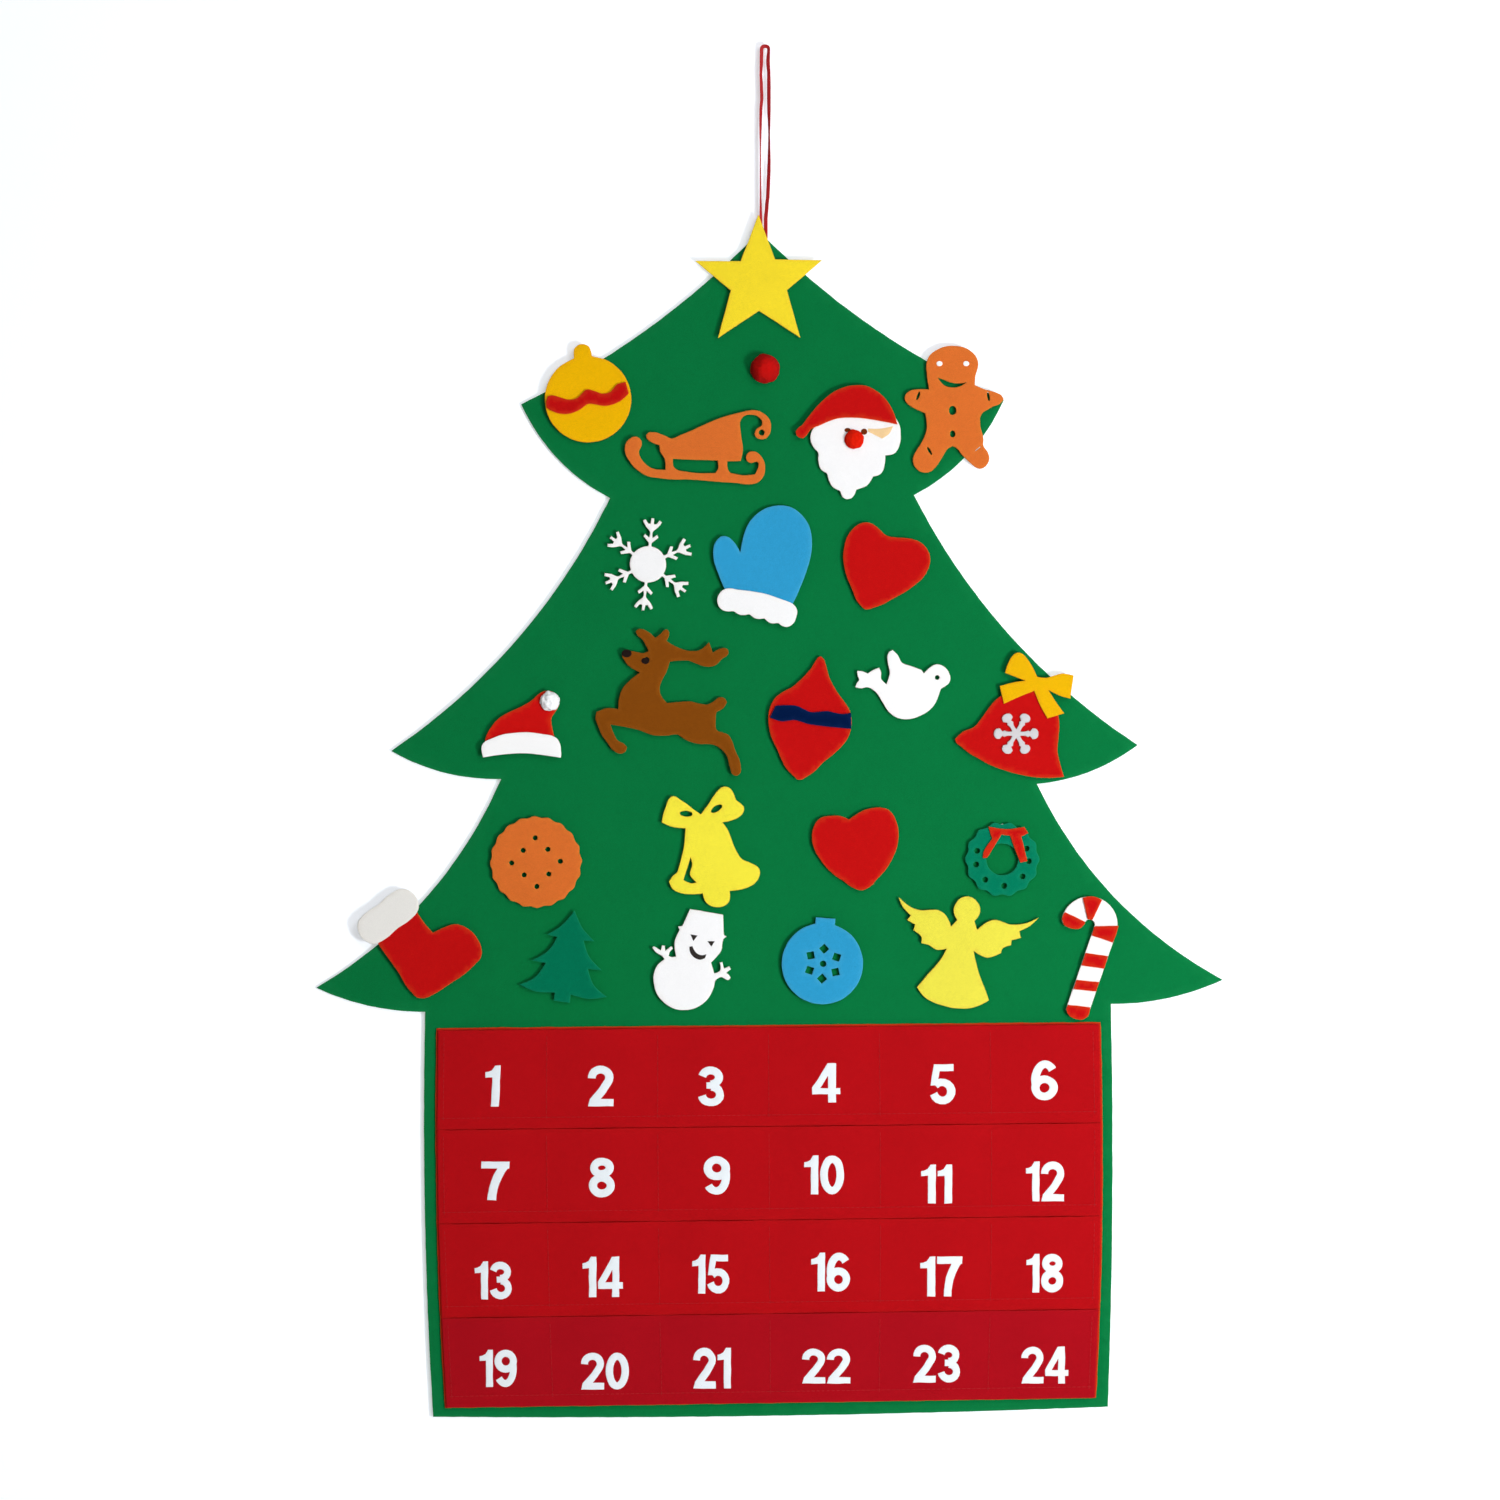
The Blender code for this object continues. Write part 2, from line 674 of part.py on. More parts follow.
mitten_width = 0.0784
mitten_height = 0.0848
mitten_dot_shares = (0.08, 0.02)
mitten_cuff_length = 0.0645
mitten_cuff_height = 0.0205
mitten_cuff_turn = -13
mitten_cuff_shares = (-0.055, -0.46)
mitten_outline_shares = [
    (-0.33, -0.39, sharp), (-0.46, -0.12), (-0.5, 0.085), (-0.41, 0.21), (-0.3, 0.165),
    (-0.225, 0.055, sharp), (-0.185, 0.235), (-0.085, 0.395), (0.175, 0.5), (0.39, 0.42),
    (0.5, 0.215), (0.445, -0.13), (0.27, -0.5, sharp),
]
# the cuff's foot is scalloped, its ends are round
mitten_cuff_outline_shares = [
    (-0.42, 0.44), (-0.3, 0.5), (0.38, 0.48), (0.48, 0.3), (0.5, 0), (0.47, -0.36), (0.38, -0.5),
    (0.3, -0.42, sharp), (0.2, -0.48), (0.12, -0.36, sharp), (0.02, -0.44), (-0.07, -0.34, sharp),
    (-0.18, -0.44), (-0.27, -0.36, sharp), (-0.4, -0.42), (-0.49, -0.18), (-0.49, 0.2),
]


def make_mitten():
    outline = sized(mitten_outline_shares, mitten_width, mitten_height)
    mitten = cut_felt("mitten", [outline], place("mitten"), ornament_back, ornament_thickness,
                      blue_felt)
    add_dot(mitten, at("mitten", mitten_dot_shares, mitten_width, mitten_height))
    cuff = sized(mitten_cuff_outline_shares, mitten_cuff_length, mitten_cuff_height)
    cut_felt("mitten_cuff", [cuff], at("mitten", mitten_cuff_shares, mitten_width, mitten_height),
             trim_back, trim_thickness, white_felt, mitten_cuff_turn)


# Hearts

heart_upper_width = 0.0696
heart_upper_height = 0.0696
heart_lower_width = 0.0692
heart_lower_height = 0.0656
heart_upper_shares = [
    (-0.241, 0.5), (-0.12, 0.45), (0, 0.345), (0.2, 0.32), (0.37, 0.275), (0.49, 0.12),
    (0.46, -0.06), (0.33, -0.21), (0.06, -0.38), (-0.2, -0.495), (-0.27, -0.49), (-0.4, -0.27),
    (-0.49, -0.02), (-0.49, 0.23), (-0.39, 0.43),
]
heart_lower_shares = [
    (-0.5, 0.134), (-0.477, 0.28), (-0.419, 0.366), (-0.315, 0.402), (-0.176, 0.402),
    (-0.072, 0.36, sharp), (0.09, 0.47), (0.205, 0.5), (0.332, 0.5), (0.413, 0.451),
    (0.471, 0.341), (0.5, 0.195), (0.436, -0.098), (0.251, -0.366), (0.084, -0.5),
    (-0.153, -0.378), (-0.292, -0.268), (-0.408, -0.122), (-0.477, 0.012),
]


def make_heart(name, outline_shares, width, height):
    outline = sized(outline_shares, width, height)
    heart = cut_felt(name, [outline], place(name), ornament_back, ornament_thickness, red_felt)
    add_dot(heart, place(name))


# Hat with a brim and a pompom

hat_crown_width = 0.061
hat_crown_height = 0.0496
hat_dot_shares = (0.12, -0.05)
hat_brim_width = 0.064
hat_brim_height = 0.021
hat_brim_shares = (0.005, -0.39)
hat_pompom_width = 0.0162
hat_pompom_depth = 0.006
hat_pompom_shares = (0.37, 0.325)
hat_crown_outline_shares = [
    (-0.49, -0.47, sharp), (-0.468, -0.25), (-0.392, -0.08), (-0.27, 0.075), (0, 0.24),
    (0.145, 0.35), (0.28, 0.48), (0.45, 0.44), (0.48, 0.24), (0.39, 0.055), (0.4, -0.11),
    (0.48, -0.47, sharp),
]
hat_brim_outline_shares = [
    (-0.5, 0), (-0.41, 0.23), (-0.08, 0.48), (0.27, 0.43), (0.44, 0.25), (0.49, -0.25),
    (0.485, -0.47, sharp), (0.22, -0.35), (0, -0.3), (-0.26, -0.35), (-0.485, -0.45, sharp),
]


def make_hat():
    width = hat_crown_width
    height = hat_crown_height
    outline = sized(hat_crown_outline_shares, width, height)
    crown = cut_felt("hat_crown", [outline], place("hat"), ornament_back, ornament_thickness,
                     red_felt)
    add_dot(crown, at("hat", hat_dot_shares, width, height))
    brim = sized(hat_brim_outline_shares, hat_brim_width, hat_brim_height)
    cut_felt("hat_brim", [brim], at("hat", hat_brim_shares, width, height), trim_back,
             trim_thickness, white_felt)
    dome("hat_pompom", at("hat", hat_pompom_shares, width, height), trim_back, hat_pompom_width,
         hat_pompom_depth, white_felt, 12)


# Leaping reindeer

reindeer_width = 0.116
reindeer_height = 0.117
reindeer_dot_shares = (0.14, -0.125)
reindeer_eye_width = 0.0048
reindeer_eye_shares = (-0.15, 0.29)
reindeer_outline_shares = [
    (-0.32, 0.335), (-0.3, 0.355), (-0.18, 0.335), (-0.135, 0.35, sharp), (-0.18, 0.43),
    (-0.225, 0.485), (-0.18, 0.5), (-0.09, 0.44, sharp), (-0.05, 0.47), (-0.015, 0.5),
    (0.005, 0.47), (-0.015, 0.42, sharp), (0.075, 0.37), (0.185, 0.35), (0.23, 0.365),
    (0.28, 0.41, sharp), (0.305, 0.34, sharp), (0.395, 0.37), (0.415, 0.335), (0.37, 0.3),
    (0.325, 0.255), (0.255, 0.245), (0.14, 0.285), (0.01, 0.28, sharp), (-0.015, 0.205),
    (-0.06, 0.105), (-0.045, 0.035), (-0.005, -0.005, sharp), (0.155, 0.005), (0.265, -0.015),
    (0.315, 0.01), (0.355, 0.035), (0.405, 0), (0.33, -0.065, sharp), (0.325, -0.13),
    (0.335, -0.19), (0.41, -0.22), (0.46, -0.33), (0.5, -0.46), (0.47, -0.5), (0.435, -0.48),
    (0.405, -0.37), (0.315, -0.29), (0.215, -0.285), (0.13, -0.26), (0.065, -0.22, sharp),
    (-0.095, -0.225), (-0.215, -0.185), (-0.4, -0.15, sharp), (-0.35, -0.26), (-0.285, -0.305),
    (-0.33, -0.35), (-0.42, -0.275), (-0.485, -0.16), (-0.495, -0.065), (-0.345, -0.045, sharp),
    (-0.34, 0.025), (-0.305, 0.11), (-0.195, 0.205, sharp), (-0.26, 0.24), (-0.305, 0.29),
]


def make_reindeer():
    width = reindeer_width
    height = reindeer_height
    outline = sized(reindeer_outline_shares, width, height)
    eye_at = (reindeer_eye_shares[0] * width, reindeer_eye_shares[1] * height)
    eye = ring(reindeer_eye_width / 2, 6, eye_at)
    deer = cut_felt("reindeer", [outline, eye], place("reindeer"), ornament_back,
                    ornament_thickness, dark_brown_felt)
    add_dot(deer, at("reindeer", reindeer_dot_shares, width, height))


# Drop bauble with a wavy band

drop_width = 0.066
drop_height = 0.0992
drop_band_width = 0.065
drop_band_height = 0.0188
drop_band_shares = (0.01, 0.005)
drop_outline_shares = [
    (0.135, 0.5), (0.195, 0.43), (0.235, 0.335), (0.34, 0.205), (0.49, 0.05), (0.5, -0.085),
    (0.415, -0.205), (0.165, -0.355), (-0.08, -0.49), (-0.155, -0.49), (-0.39, -0.255),
    (-0.5, -0.02), (-0.415, 0.165), (-0.21, 0.255), (0.015, 0.4), (0.09, 0.48),
]
drop_band_outline_shares = [
    (-0.43, 0.5, sharp), (-0.17, 0.5), (0.005, 0.235), (0.21, 0.275), (0.39, 0.145),
    (0.5, 0.21, sharp), (0.5, -0.48, sharp), (0.21, -0.38), (-0.045, -0.255), (-0.2, -0.1),
    (-0.35, -0.165), (-0.5, 0.01, sharp),
]


def make_drop_bauble():
    outline = sized(drop_outline_shares, drop_width, drop_height)
    drop = cut_felt("drop_bauble", [outline], place("drop_bauble"), ornament_back,
                    ornament_thickness, red_felt)
    add_dot(drop, place("drop_bauble"))
    band = sized(drop_band_outline_shares, drop_band_width, drop_band_height)
    cut_felt("drop_band", [band], at("drop_bauble", drop_band_shares, drop_width, drop_height),
             trim_back, trim_thickness, navy_felt)


# Dove

dove_width = 0.0765
dove_height = 0.0556
dove_dot_shares = (0.04, -0.18)
dove_eye_width = 0.0038
dove_eye_shares = (0.365, 0.095)
dove_outline_shares = [
    (-0.49, -0.045), (-0.45, 0.06), (-0.47, 0.19), (-0.36, 0.15), (-0.24, 0.235),
    (-0.22, 0.075), (-0.165, -0.005, sharp), (-0.13, 0.165), (-0.155, 0.4), (-0.1, 0.49), (-0.005, 0.31),
    (0.195, 0.205), (0.225, 0.15, sharp), (0.3, 0.25), (0.39, 0.28), (0.495, 0.135), (0.485, 0.01),
    (0.4, -0.08), (0.34, -0.285), (0.17, -0.465), (-0.025, -0.495), (-0.155, -0.375),
    (-0.26, -0.14), (-0.36, -0.045),
]


def make_dove():
    outline = sized(dove_outline_shares, dove_width, dove_height)
    eye_at = (dove_eye_shares[0] * dove_width, dove_eye_shares[1] * dove_height)
    eye = ring(dove_eye_width / 2, 6, eye_at)
    dove = cut_felt("dove", [outline, eye], place("dove"), ornament_back, ornament_thickness,
                    white_felt)
    add_dot(dove, at("dove", dove_dot_shares, dove_width, dove_height))


# Red bell with a bow and a snow crystal

red_bell_width = 0.0872
red_bell_height = 0.0704
red_bell_dot_shares = (0.05, 0.02)
red_bell_bow_width = 0.0596
red_bell_bow_height = 0.0532
red_bell_bow_shares = (0.245, 0.5475)
bell_crystal_shares = (0.06, 0)
red_bell_outline_shares = [
    (-0.5, -0.06), (-0.32, 0.08), (-0.205, 0.265), (-0.1, 0.41), (0.05, 0.49), (0.235, 0.49),
    (0.39, 0.365), (0.455, 0.135), (0.44, -0.205), (0.5, -0.49, sharp), (0.29, -0.5),
    (-0.07, -0.405), (-0.28, -0.285), (-0.455, -0.135),
]
red_bell_bow_outline_shares = [
    (-0.42, 0.19, sharp), (-0.335, 0.425), (-0.24, 0.495), (-0.13, 0.41), (0.01, 0.13, sharp),
    (0.135, 0.115), (0.345, 0.18), (0.5, 0.15, sharp), (0.455, -0.2, sharp), (0.32, -0.155),
    (0.16, -0.065, sharp), (0.26, -0.245), (0.375, -0.42, sharp), (0.15, -0.495, sharp),
    (0.04, -0.275), (-0.03, -0.08, sharp), (-0.19, -0.155), (-0.435, -0.275, sharp),
    (-0.49, -0.01, sharp), (-0.295, 0.05), (-0.15, 0.07, sharp),
]


def make_red_bell():
    width = red_bell_width
    height = red_bell_height
    outline = sized(red_bell_outline_shares, width, height)
    bell = cut_felt("red_bell", [outline], place("red_bell"), ornament_back, ornament_thickness,
                    red_felt)
    add_dot(bell, at("red_bell", red_bell_dot_shares, width, height))
    bow = sized(red_bell_bow_outline_shares, red_bell_bow_width, red_bell_bow_height)
    cut_felt("red_bell_bow", [bow], at("red_bell", red_bell_bow_shares, width, height), trim_back,
             trim_thickness, amber_felt)
    crystal = crystal_outline(bell_crystal_reach, bell_crystal_hub_width, stout_arm_half_shares)
    cut_felt("red_bell_snowflake", [crystal], at("red_bell", bell_crystal_shares, width, height),
             trim_back, trim_thickness, white_felt, bell_crystal_turn, steps=1)


# Cookie with a pinked edge and eight pricked holes

cookie_width = 0.0734
cookie_wave = 0.0006
cookie_waves = 20
cookie_hole_width = 0.0042
cookie_hole_reach_shares = [0.53, 0.38]
cookie_turn = 2


def make_cookie():
    radius = cookie_width / 2
    outlines = [ring(radius - cookie_wave, 2 * cookie_waves, wave=cookie_wave, waves=cookie_waves)]
    for index in range(8):
        angle = math.radians(90 + 45 * index)
        reach = cookie_hole_reach_shares[index % 2] * radius
        spot = (reach * math.cos(angle), reach * math.sin(angle))
        outlines.append(corners(ring(cookie_hole_width / 2, 6, spot)))
    cookie = cut_felt("cookie", outlines, place("cookie"), ornament_back, ornament_thickness,
                      brown_felt, cookie_turn, steps=1)
    add_dot(cookie, place("cookie"))


# Yellow bell, cut in one with its bow

yellow_bell_width = 0.0784
yellow_bell_height = 0.0964
yellow_bell_dot_shares = (0.03, -0.09)
eyelet_length = 0.0105
eyelet_width_share = 0.42
eyelet_shares = [(-0.25, 0.275, -4), (0.06, 0.317, 32)]
yellow_bell_outline_shares = [
    (-0.5, 0.205, sharp), (-0.445, 0.365), (-0.39, 0.42), (-0.315, 0.395), (-0.18, 0.315),
    (-0.1, 0.27, sharp), (-0.005, 0.375), (0.065, 0.46), (0.14, 0.5), (0.21, 0.475), (0.26, 0.39),
    (0.34, 0.325), (0.285, 0.245), (0.12, 0.205, sharp), (0.175, 0.14), (0.24, 0.005),
    (0.32, -0.1), (0.485, -0.17), (0.495, -0.25), (0.38, -0.335), (0.195, -0.365, sharp),
    (0.185, -0.455), (0.065, -0.5), (-0.05, -0.455), (-0.08, -0.385, sharp), (-0.315, -0.38),
    (-0.425, -0.29), (-0.335, -0.2), (-0.255, 0.155, sharp), (-0.4, 0.17),
]
bell_slit_shares = [
    (-0.204, -0.086, sharp), (-0.188, -0.149), (-0.21, -0.23), (-0.145, -0.293, sharp),
    (-0.2, -0.302), (-0.277, -0.275, sharp), (-0.246, -0.193),
]


def make_yellow_bell():
    width = yellow_bell_width
    height = yellow_bell_height
    outlines = [sized(yellow_bell_outline_shares, width, height),
                sized(bell_slit_shares, width, height)]
    for across_share, up_share, lean in eyelet_shares:
        spot = (across_share * width, up_share * height)
        outlines.append(ring(eyelet_length / 2, 6, spot, stretch=eyelet_width_share, lean=lean))
    bell = cut_felt("yellow_bell", outlines, place("yellow_bell"), ornament_back,
                    ornament_thickness, yellow_felt)
    add_dot(bell, at("yellow_bell", yellow_bell_dot_shares, width, height))


# Wreath with a bow

wreath_width = 0.0595
wreath_hole_width = 0.0255
wreath_wave = 0.0009
wreath_waves = 14
berry_hole_width = 0.0048
berry_angles = [161, 191, 230, 274, 320, 356, 24]
wreath_bow_width = 0.0364
wreath_bow_height = 0.0288
wreath_bow_shares = (0.0437, 0.1976)
wreath_bow_outline_shares = [
    (-0.379, 0.5), (-0.027, 0.431), (0.412, 0.486), (0.5, 0.319), (0.346, 0.222),
    (0.412, -0.097), (0.478, -0.458), (0.324, -0.5), (0.214, -0.153), (0.104, 0.25),
    (-0.093, 0.278), (-0.247, -0.042), (-0.401, -0.361), (-0.5, -0.375), (-0.478, -0.181),
    (-0.291, 0.167), (-0.335, 0.319),
]


def make_wreath():
    radius = wreath_width / 2
    middle = (radius + wreath_hole_width / 2) / 2
    edge = ring(radius - wreath_wave, 2 * wreath_waves, wave=wreath_wave, waves=wreath_waves)
    outlines = [edge, ring(wreath_hole_width / 2, 14)]
    for degrees in berry_angles:
        angle = math.radians(degrees)
        spot = (middle * math.cos(angle), middle * math.sin(angle))
        outlines.append(corners(ring(berry_hole_width / 2, 6, spot)))
    wreath = cut_felt("wreath", outlines, place("wreath"), ornament_back, ornament_thickness,
                      teal_felt, steps=1)
    across, up = place("wreath")
    add_dot(wreath, (across, up + middle))
    bow = sized(corners(wreath_bow_outline_shares), wreath_bow_width, wreath_bow_height)
    cut_felt("wreath_bow", [bow], at("wreath", wreath_bow_shares, wreath_width, wreath_width),
             trim_back, trim_thickness, red_felt, steps=1)


# Stocking with a cuff

stocking_width = 0.088
stocking_height = 0.0788
stocking_dot_shares = (0.05, -0.05)
stocking_cuff_length = 0.0515
stocking_cuff_height = 0.0245
stocking_cuff_turn = 38
stocking_cuff_shares = (-0.35, 0.333)
stocking_outline_shares = [
    (-0.15, 0.49, sharp), (-0.035, 0.28), (0.055, 0.165, sharp), (0.16, 0.22), (0.26, 0.25),
    (0.38, 0.2), (0.46, 0.1), (0.5, -0.04), (0.47, -0.12), (0.2, -0.36), (0.045, -0.47),
    (-0.03, -0.5), (-0.105, -0.48), (-0.25, -0.25), (-0.49, 0.13, sharp),
]
stocking_cuff_half_shares = [(0, 0.5), (0.36, 0.5), (0.49, 0.3), (0.49, -0.3), (0.36, -0.5),
                             (0, -0.5)]


def make_stocking():
    width = stocking_width
    height = stocking_height
    outline = sized(stocking_outline_shares, width, height)
    stocking = cut_felt("stocking", [outline], place("stocking"), ornament_back,
                        ornament_thickness, red_felt)
    add_dot(stocking, at("stocking", stocking_dot_shares, width, height))
    cuff = sized(mirrored(stocking_cuff_half_shares), stocking_cuff_length, stocking_cuff_height)
    cut_felt("stocking_cuff", [cuff], at("stocking", stocking_cuff_shares, width, height),
             trim_back, trim_thickness, white_felt, stocking_cuff_turn)


# Small fir tree

small_tree_width = 0.0705
small_tree_height = 0.0735
small_tree_turn = -8
small_tree_half_shares = [
    (0, 0.5, sharp), (0.12, 0.32), (0.27, 0.2, sharp), (0.15, 0.19, sharp), (0.24, 0.02),
    (0.4, -0.1, sharp), (0.24, -0.11, sharp), (0.34, -0.28), (0.5, -0.38, sharp), (0.3, -0.43),
    (0.09, -0.41, sharp), (0.09, -0.5, sharp),
]


def make_small_tree():
    outline = sized(mirrored(small_tree_half_shares), small_tree_width, small_tree_height)
    tree = cut_felt("small_tree", [outline], place("small_tree"), ornament_back,
                    ornament_thickness, teal_felt, small_tree_turn)
    add_dot(tree, place("small_tree"))


# Snowman

snowman_width = 0.0632
snowman_height = 0.0816
snowman_dot_shares = (-0.095, -0.19)
snowman_outline_shares = [
    (-0.02, 0.495, sharp), (0.4, 0.44, sharp), (0.405, 0.25, sharp), (0.44, 0.225, sharp),
    (0.4, 0.2), (0.375, 0.09), (0.245, -0.03, sharp), (0.285, -0.135, sharp), (0.36, -0.11),
    (0.355, -0.03, sharp), (0.39, -0.025, sharp), (0.41, -0.09, sharp), (0.475, -0.065, sharp),
    (0.495, -0.095, sharp), (0.435, -0.13, sharp), (0.49, -0.175), (0.46, -0.2), (0.375, -0.17),
    (0.3, -0.205, sharp), (0.27, -0.295), (0.16, -0.42), (-0.095, -0.495), (-0.35, -0.42),
    (-0.475, -0.245), (-0.435, -0.06), (-0.34, 0.005, sharp), (-0.38, 0.04), (-0.495, 0.115),
    (-0.475, 0.13, sharp), (-0.39, 0.09, sharp), (-0.375, 0.14, sharp), (-0.34, 0.135, sharp),
    (-0.335, 0.085, sharp), (-0.26, 0.13, sharp), (-0.235, 0.11, sharp), (-0.29, 0.035),
    (-0.195, 0.03, sharp), (-0.215, 0.17), (-0.15, 0.29, sharp), (-0.17, 0.325, sharp),
    (-0.115, 0.33, sharp),
]


def make_snowman():
    outline = sized(snowman_outline_shares, snowman_width, snowman_height)
    snowman = cut_felt("snowman", [outline], place("snowman"), ornament_back, ornament_thickness,
                       white_felt)
    add_dot(snowman, at("snowman", snowman_dot_shares, snowman_width, snowman_height))


# Angel

angel_width = 0.1128
angel_height = 0.0896
angel_dot_shares = (-0.04, -0.2)
angel_outline_shares = [
    (-0.015, 0.5), (-0.09, 0.44), (-0.105, 0.355), (-0.08, 0.29, sharp), (-0.125, 0.23, sharp),
    (-0.16, 0.33), (-0.225, 0.38), (-0.325, 0.375), (-0.41, 0.405), (-0.495, 0.495, sharp),
    (-0.47, 0.415), (-0.41, 0.33, sharp), (-0.435, 0.29, sharp), (-0.38, 0.25, sharp),
    (-0.39, 0.2, sharp), (-0.335, 0.14, sharp), (-0.335, 0.085, sharp), (-0.28, 0.065),
    (-0.225, 0.025), (-0.155, 0.035, sharp), (-0.19, -0.05), (-0.275, -0.175),
    (-0.365, -0.31, sharp), (-0.31, -0.4), (-0.19, -0.47), (-0.055, -0.5), (0.06, -0.48),
    (0.145, -0.425, sharp), (0.12, -0.34), (0.07, -0.175), (0.035, 0.015, sharp), (0.13, -0.045),
    (0.23, -0.005, sharp), (0.24, 0.035), (0.3, 0.065, sharp), (0.305, 0.11, sharp),
    (0.37, 0.13, sharp), (0.36, 0.19, sharp), (0.445, 0.245), (0.495, 0.31, sharp), (0.43, 0.27),
    (0.295, 0.25), (0.195, 0.29), (0.13, 0.27), (0.06, 0.2, sharp), (0.04, 0.28, sharp),
    (0.08, 0.355), (0.065, 0.445),
]


def make_angel():
    outline = sized(angel_outline_shares, angel_width, angel_height)
    angel = cut_felt("angel", [outline], place("angel"), ornament_back, ornament_thickness,
                     pale_yellow_felt)
    add_dot(angel, at("angel", angel_dot_shares, angel_width, angel_height))


# Candy cane: a crook on a straight shaft, with six stripes laid across it

cane_width = 0.0182
cane_crook_radius = 0.0133
cane_shaft = 0.069
cane_lean = 19
cane_crook_sweep = 188
cane_centre_shift = 0.0261
stripe_inset = 0.0004
stripe_skew_share = 0.19
stripe_shares = [(-0.06, 0.03), (0.137, 0.215), (0.365, 0.45), (0.575, 0.66), (0.785, 0.85),
                 (0.985, 1.06)]
cane_steps = 12
cane_cap_share = 0.6
cane_dot_share = 0.6


def cane_line(distance):
    # a point of the cane's middle line and the way it runs there, from the crook's end
    sweep = math.radians(cane_crook_sweep)
    arc = cane_crook_radius * sweep
    foot_angle = -math.radians(cane_lean)
    along_arc = min(max(distance, 0), arc)
    angle = foot_angle + sweep - along_arc / cane_crook_radius
    point = Vector((math.cos(angle), math.sin(angle))) * cane_crook_radius
    way = Vector((math.sin(angle), -math.cos(angle)))
    point += way * (distance - along_arc)
    return point + Vector((0, cane_centre_shift)), way


def cane_length():
    return cane_crook_radius * math.radians(cane_crook_sweep) + cane_shaft


def cane_strip(start, end, half_width, steps, skew=0):
    # the outline of the cane between two distances along it, one side a skew ahead of the other
    left = []
    right = []
    for step in range(steps + 1):
        distance = start + (end - start) * step / steps
        for points, side_sign in ((left, 1), (right, -1)):
            point, way = cane_line(distance - side_sign * skew)
            points.append(tuple(point + Vector((-way.y, way.x)) * (side_sign * half_width)))
    return left, right


def cane_cap(distance, sign, half_width):
    # the round end beyond a distance, as points from the left edge to the right one
    point, way = cane_line(distance)
    side = Vector((-way.y, way.x))
    cap = []
    for step in range(1, 4):
        angle = math.pi * step / 4
        out = way * (sign * math.sin(angle) * cane_cap_share) + side * math.cos(angle)
        cap.append(tuple(point + out * half_width))
    return cap


def make_candy_cane():
    half_width = cane_width / 2
    length = cane_length()
    left, right = cane_strip(0, length, half_width, 2 * cane_steps)
    head = cane_cap(0, -1, half_width)
    foot = cane_cap(length, 1, half_width)
    outline = corners(left + foot + list(reversed(right)) + list(reversed(head)))
    spot = place("candy_cane")
    cane = cut_felt("candy_cane", [outline], spot, ornament_back, ornament_thickness, white_felt,
                    steps=1)
    middle, way = cane_line(cane_dot_share * length)
    add_dot(cane, (spot[0] + middle.x, spot[1] + middle.y))
    stripe_half = half_width - stripe_inset
    for index, (start_share, end_share) in enumerate(stripe_shares):
        start = max(start_share, 0) * length
        end = min(end_share, 1) * length
        on_shaft = start_share > 0.5 and end_share < 1
        skew = stripe_skew_share * stripe_half if on_shaft else 0
        left, right = cane_strip(start, end, stripe_half, 3, skew)
        head = cane_cap(start, -1, stripe_half) if start_share < 0 else []
        foot = cane_cap(end, 1, stripe_half) if end_share > 1 else []
        outline = corners(left + foot + list(reversed(right)) + list(reversed(head)))
        cut_felt("candy_stripe_" + str(index + 1), [outline], spot, trim_back, trim_thickness,
                 red_felt, steps=1)


make_tree_panel()
make_pocket_backing()
for row_index in range(pocket_rows):
    make_pocket_row(row_index)
make_hanging_loop()
make_star()
make_red_ball()
make_yellow_bauble()
make_sleigh()
make_santa()
make_gingerbread()
make_snowflake()
make_mitten()
make_heart("heart_upper", heart_upper_shares, heart_upper_width, heart_upper_height)
make_heart("heart_lower", heart_lower_shares, heart_lower_width, heart_lower_height)
make_hat()
make_reindeer()
make_drop_bauble()
make_dove()
make_red_bell()
make_cookie()
make_yellow_bell()
make_wreath()
make_stocking()
make_small_tree()
make_snowman()
make_blue_bauble()
make_angel()
make_candy_cane()
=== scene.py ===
import json
import math
import random

import bmesh
import bpy
import numpy as np
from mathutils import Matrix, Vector, kdtree, noise
from mathutils.geometry import delaunay_2d_cdt


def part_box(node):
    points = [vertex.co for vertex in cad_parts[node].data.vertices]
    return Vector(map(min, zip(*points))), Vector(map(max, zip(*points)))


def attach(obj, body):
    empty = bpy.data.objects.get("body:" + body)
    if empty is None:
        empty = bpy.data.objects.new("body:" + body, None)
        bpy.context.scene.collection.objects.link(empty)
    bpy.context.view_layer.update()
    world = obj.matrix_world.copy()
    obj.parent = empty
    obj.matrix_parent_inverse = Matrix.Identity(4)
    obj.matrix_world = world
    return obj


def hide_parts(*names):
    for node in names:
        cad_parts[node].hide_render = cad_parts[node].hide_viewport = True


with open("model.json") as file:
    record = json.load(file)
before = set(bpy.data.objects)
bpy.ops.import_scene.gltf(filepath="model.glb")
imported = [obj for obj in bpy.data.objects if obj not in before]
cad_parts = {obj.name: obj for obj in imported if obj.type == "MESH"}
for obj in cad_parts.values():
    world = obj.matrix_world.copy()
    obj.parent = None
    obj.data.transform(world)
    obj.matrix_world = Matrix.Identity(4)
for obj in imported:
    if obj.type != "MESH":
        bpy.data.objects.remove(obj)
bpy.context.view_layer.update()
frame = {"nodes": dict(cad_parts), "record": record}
record = frame["record"]
nodesOfBody = record["behaviour"]["bodies"]
bodyOfNode = {node: body for body, nodes in nodesOfBody.items() for node in nodes}
slotOfNode = {entry["node"]: entry["material_slot"] for entry in record["subparts"]}

# the photograph's pixels on the calendar's own plane, 0.8 mm each, from the nail at the top
pixel = {"size": 0.0008, "nailX": 766, "nailY": 45}


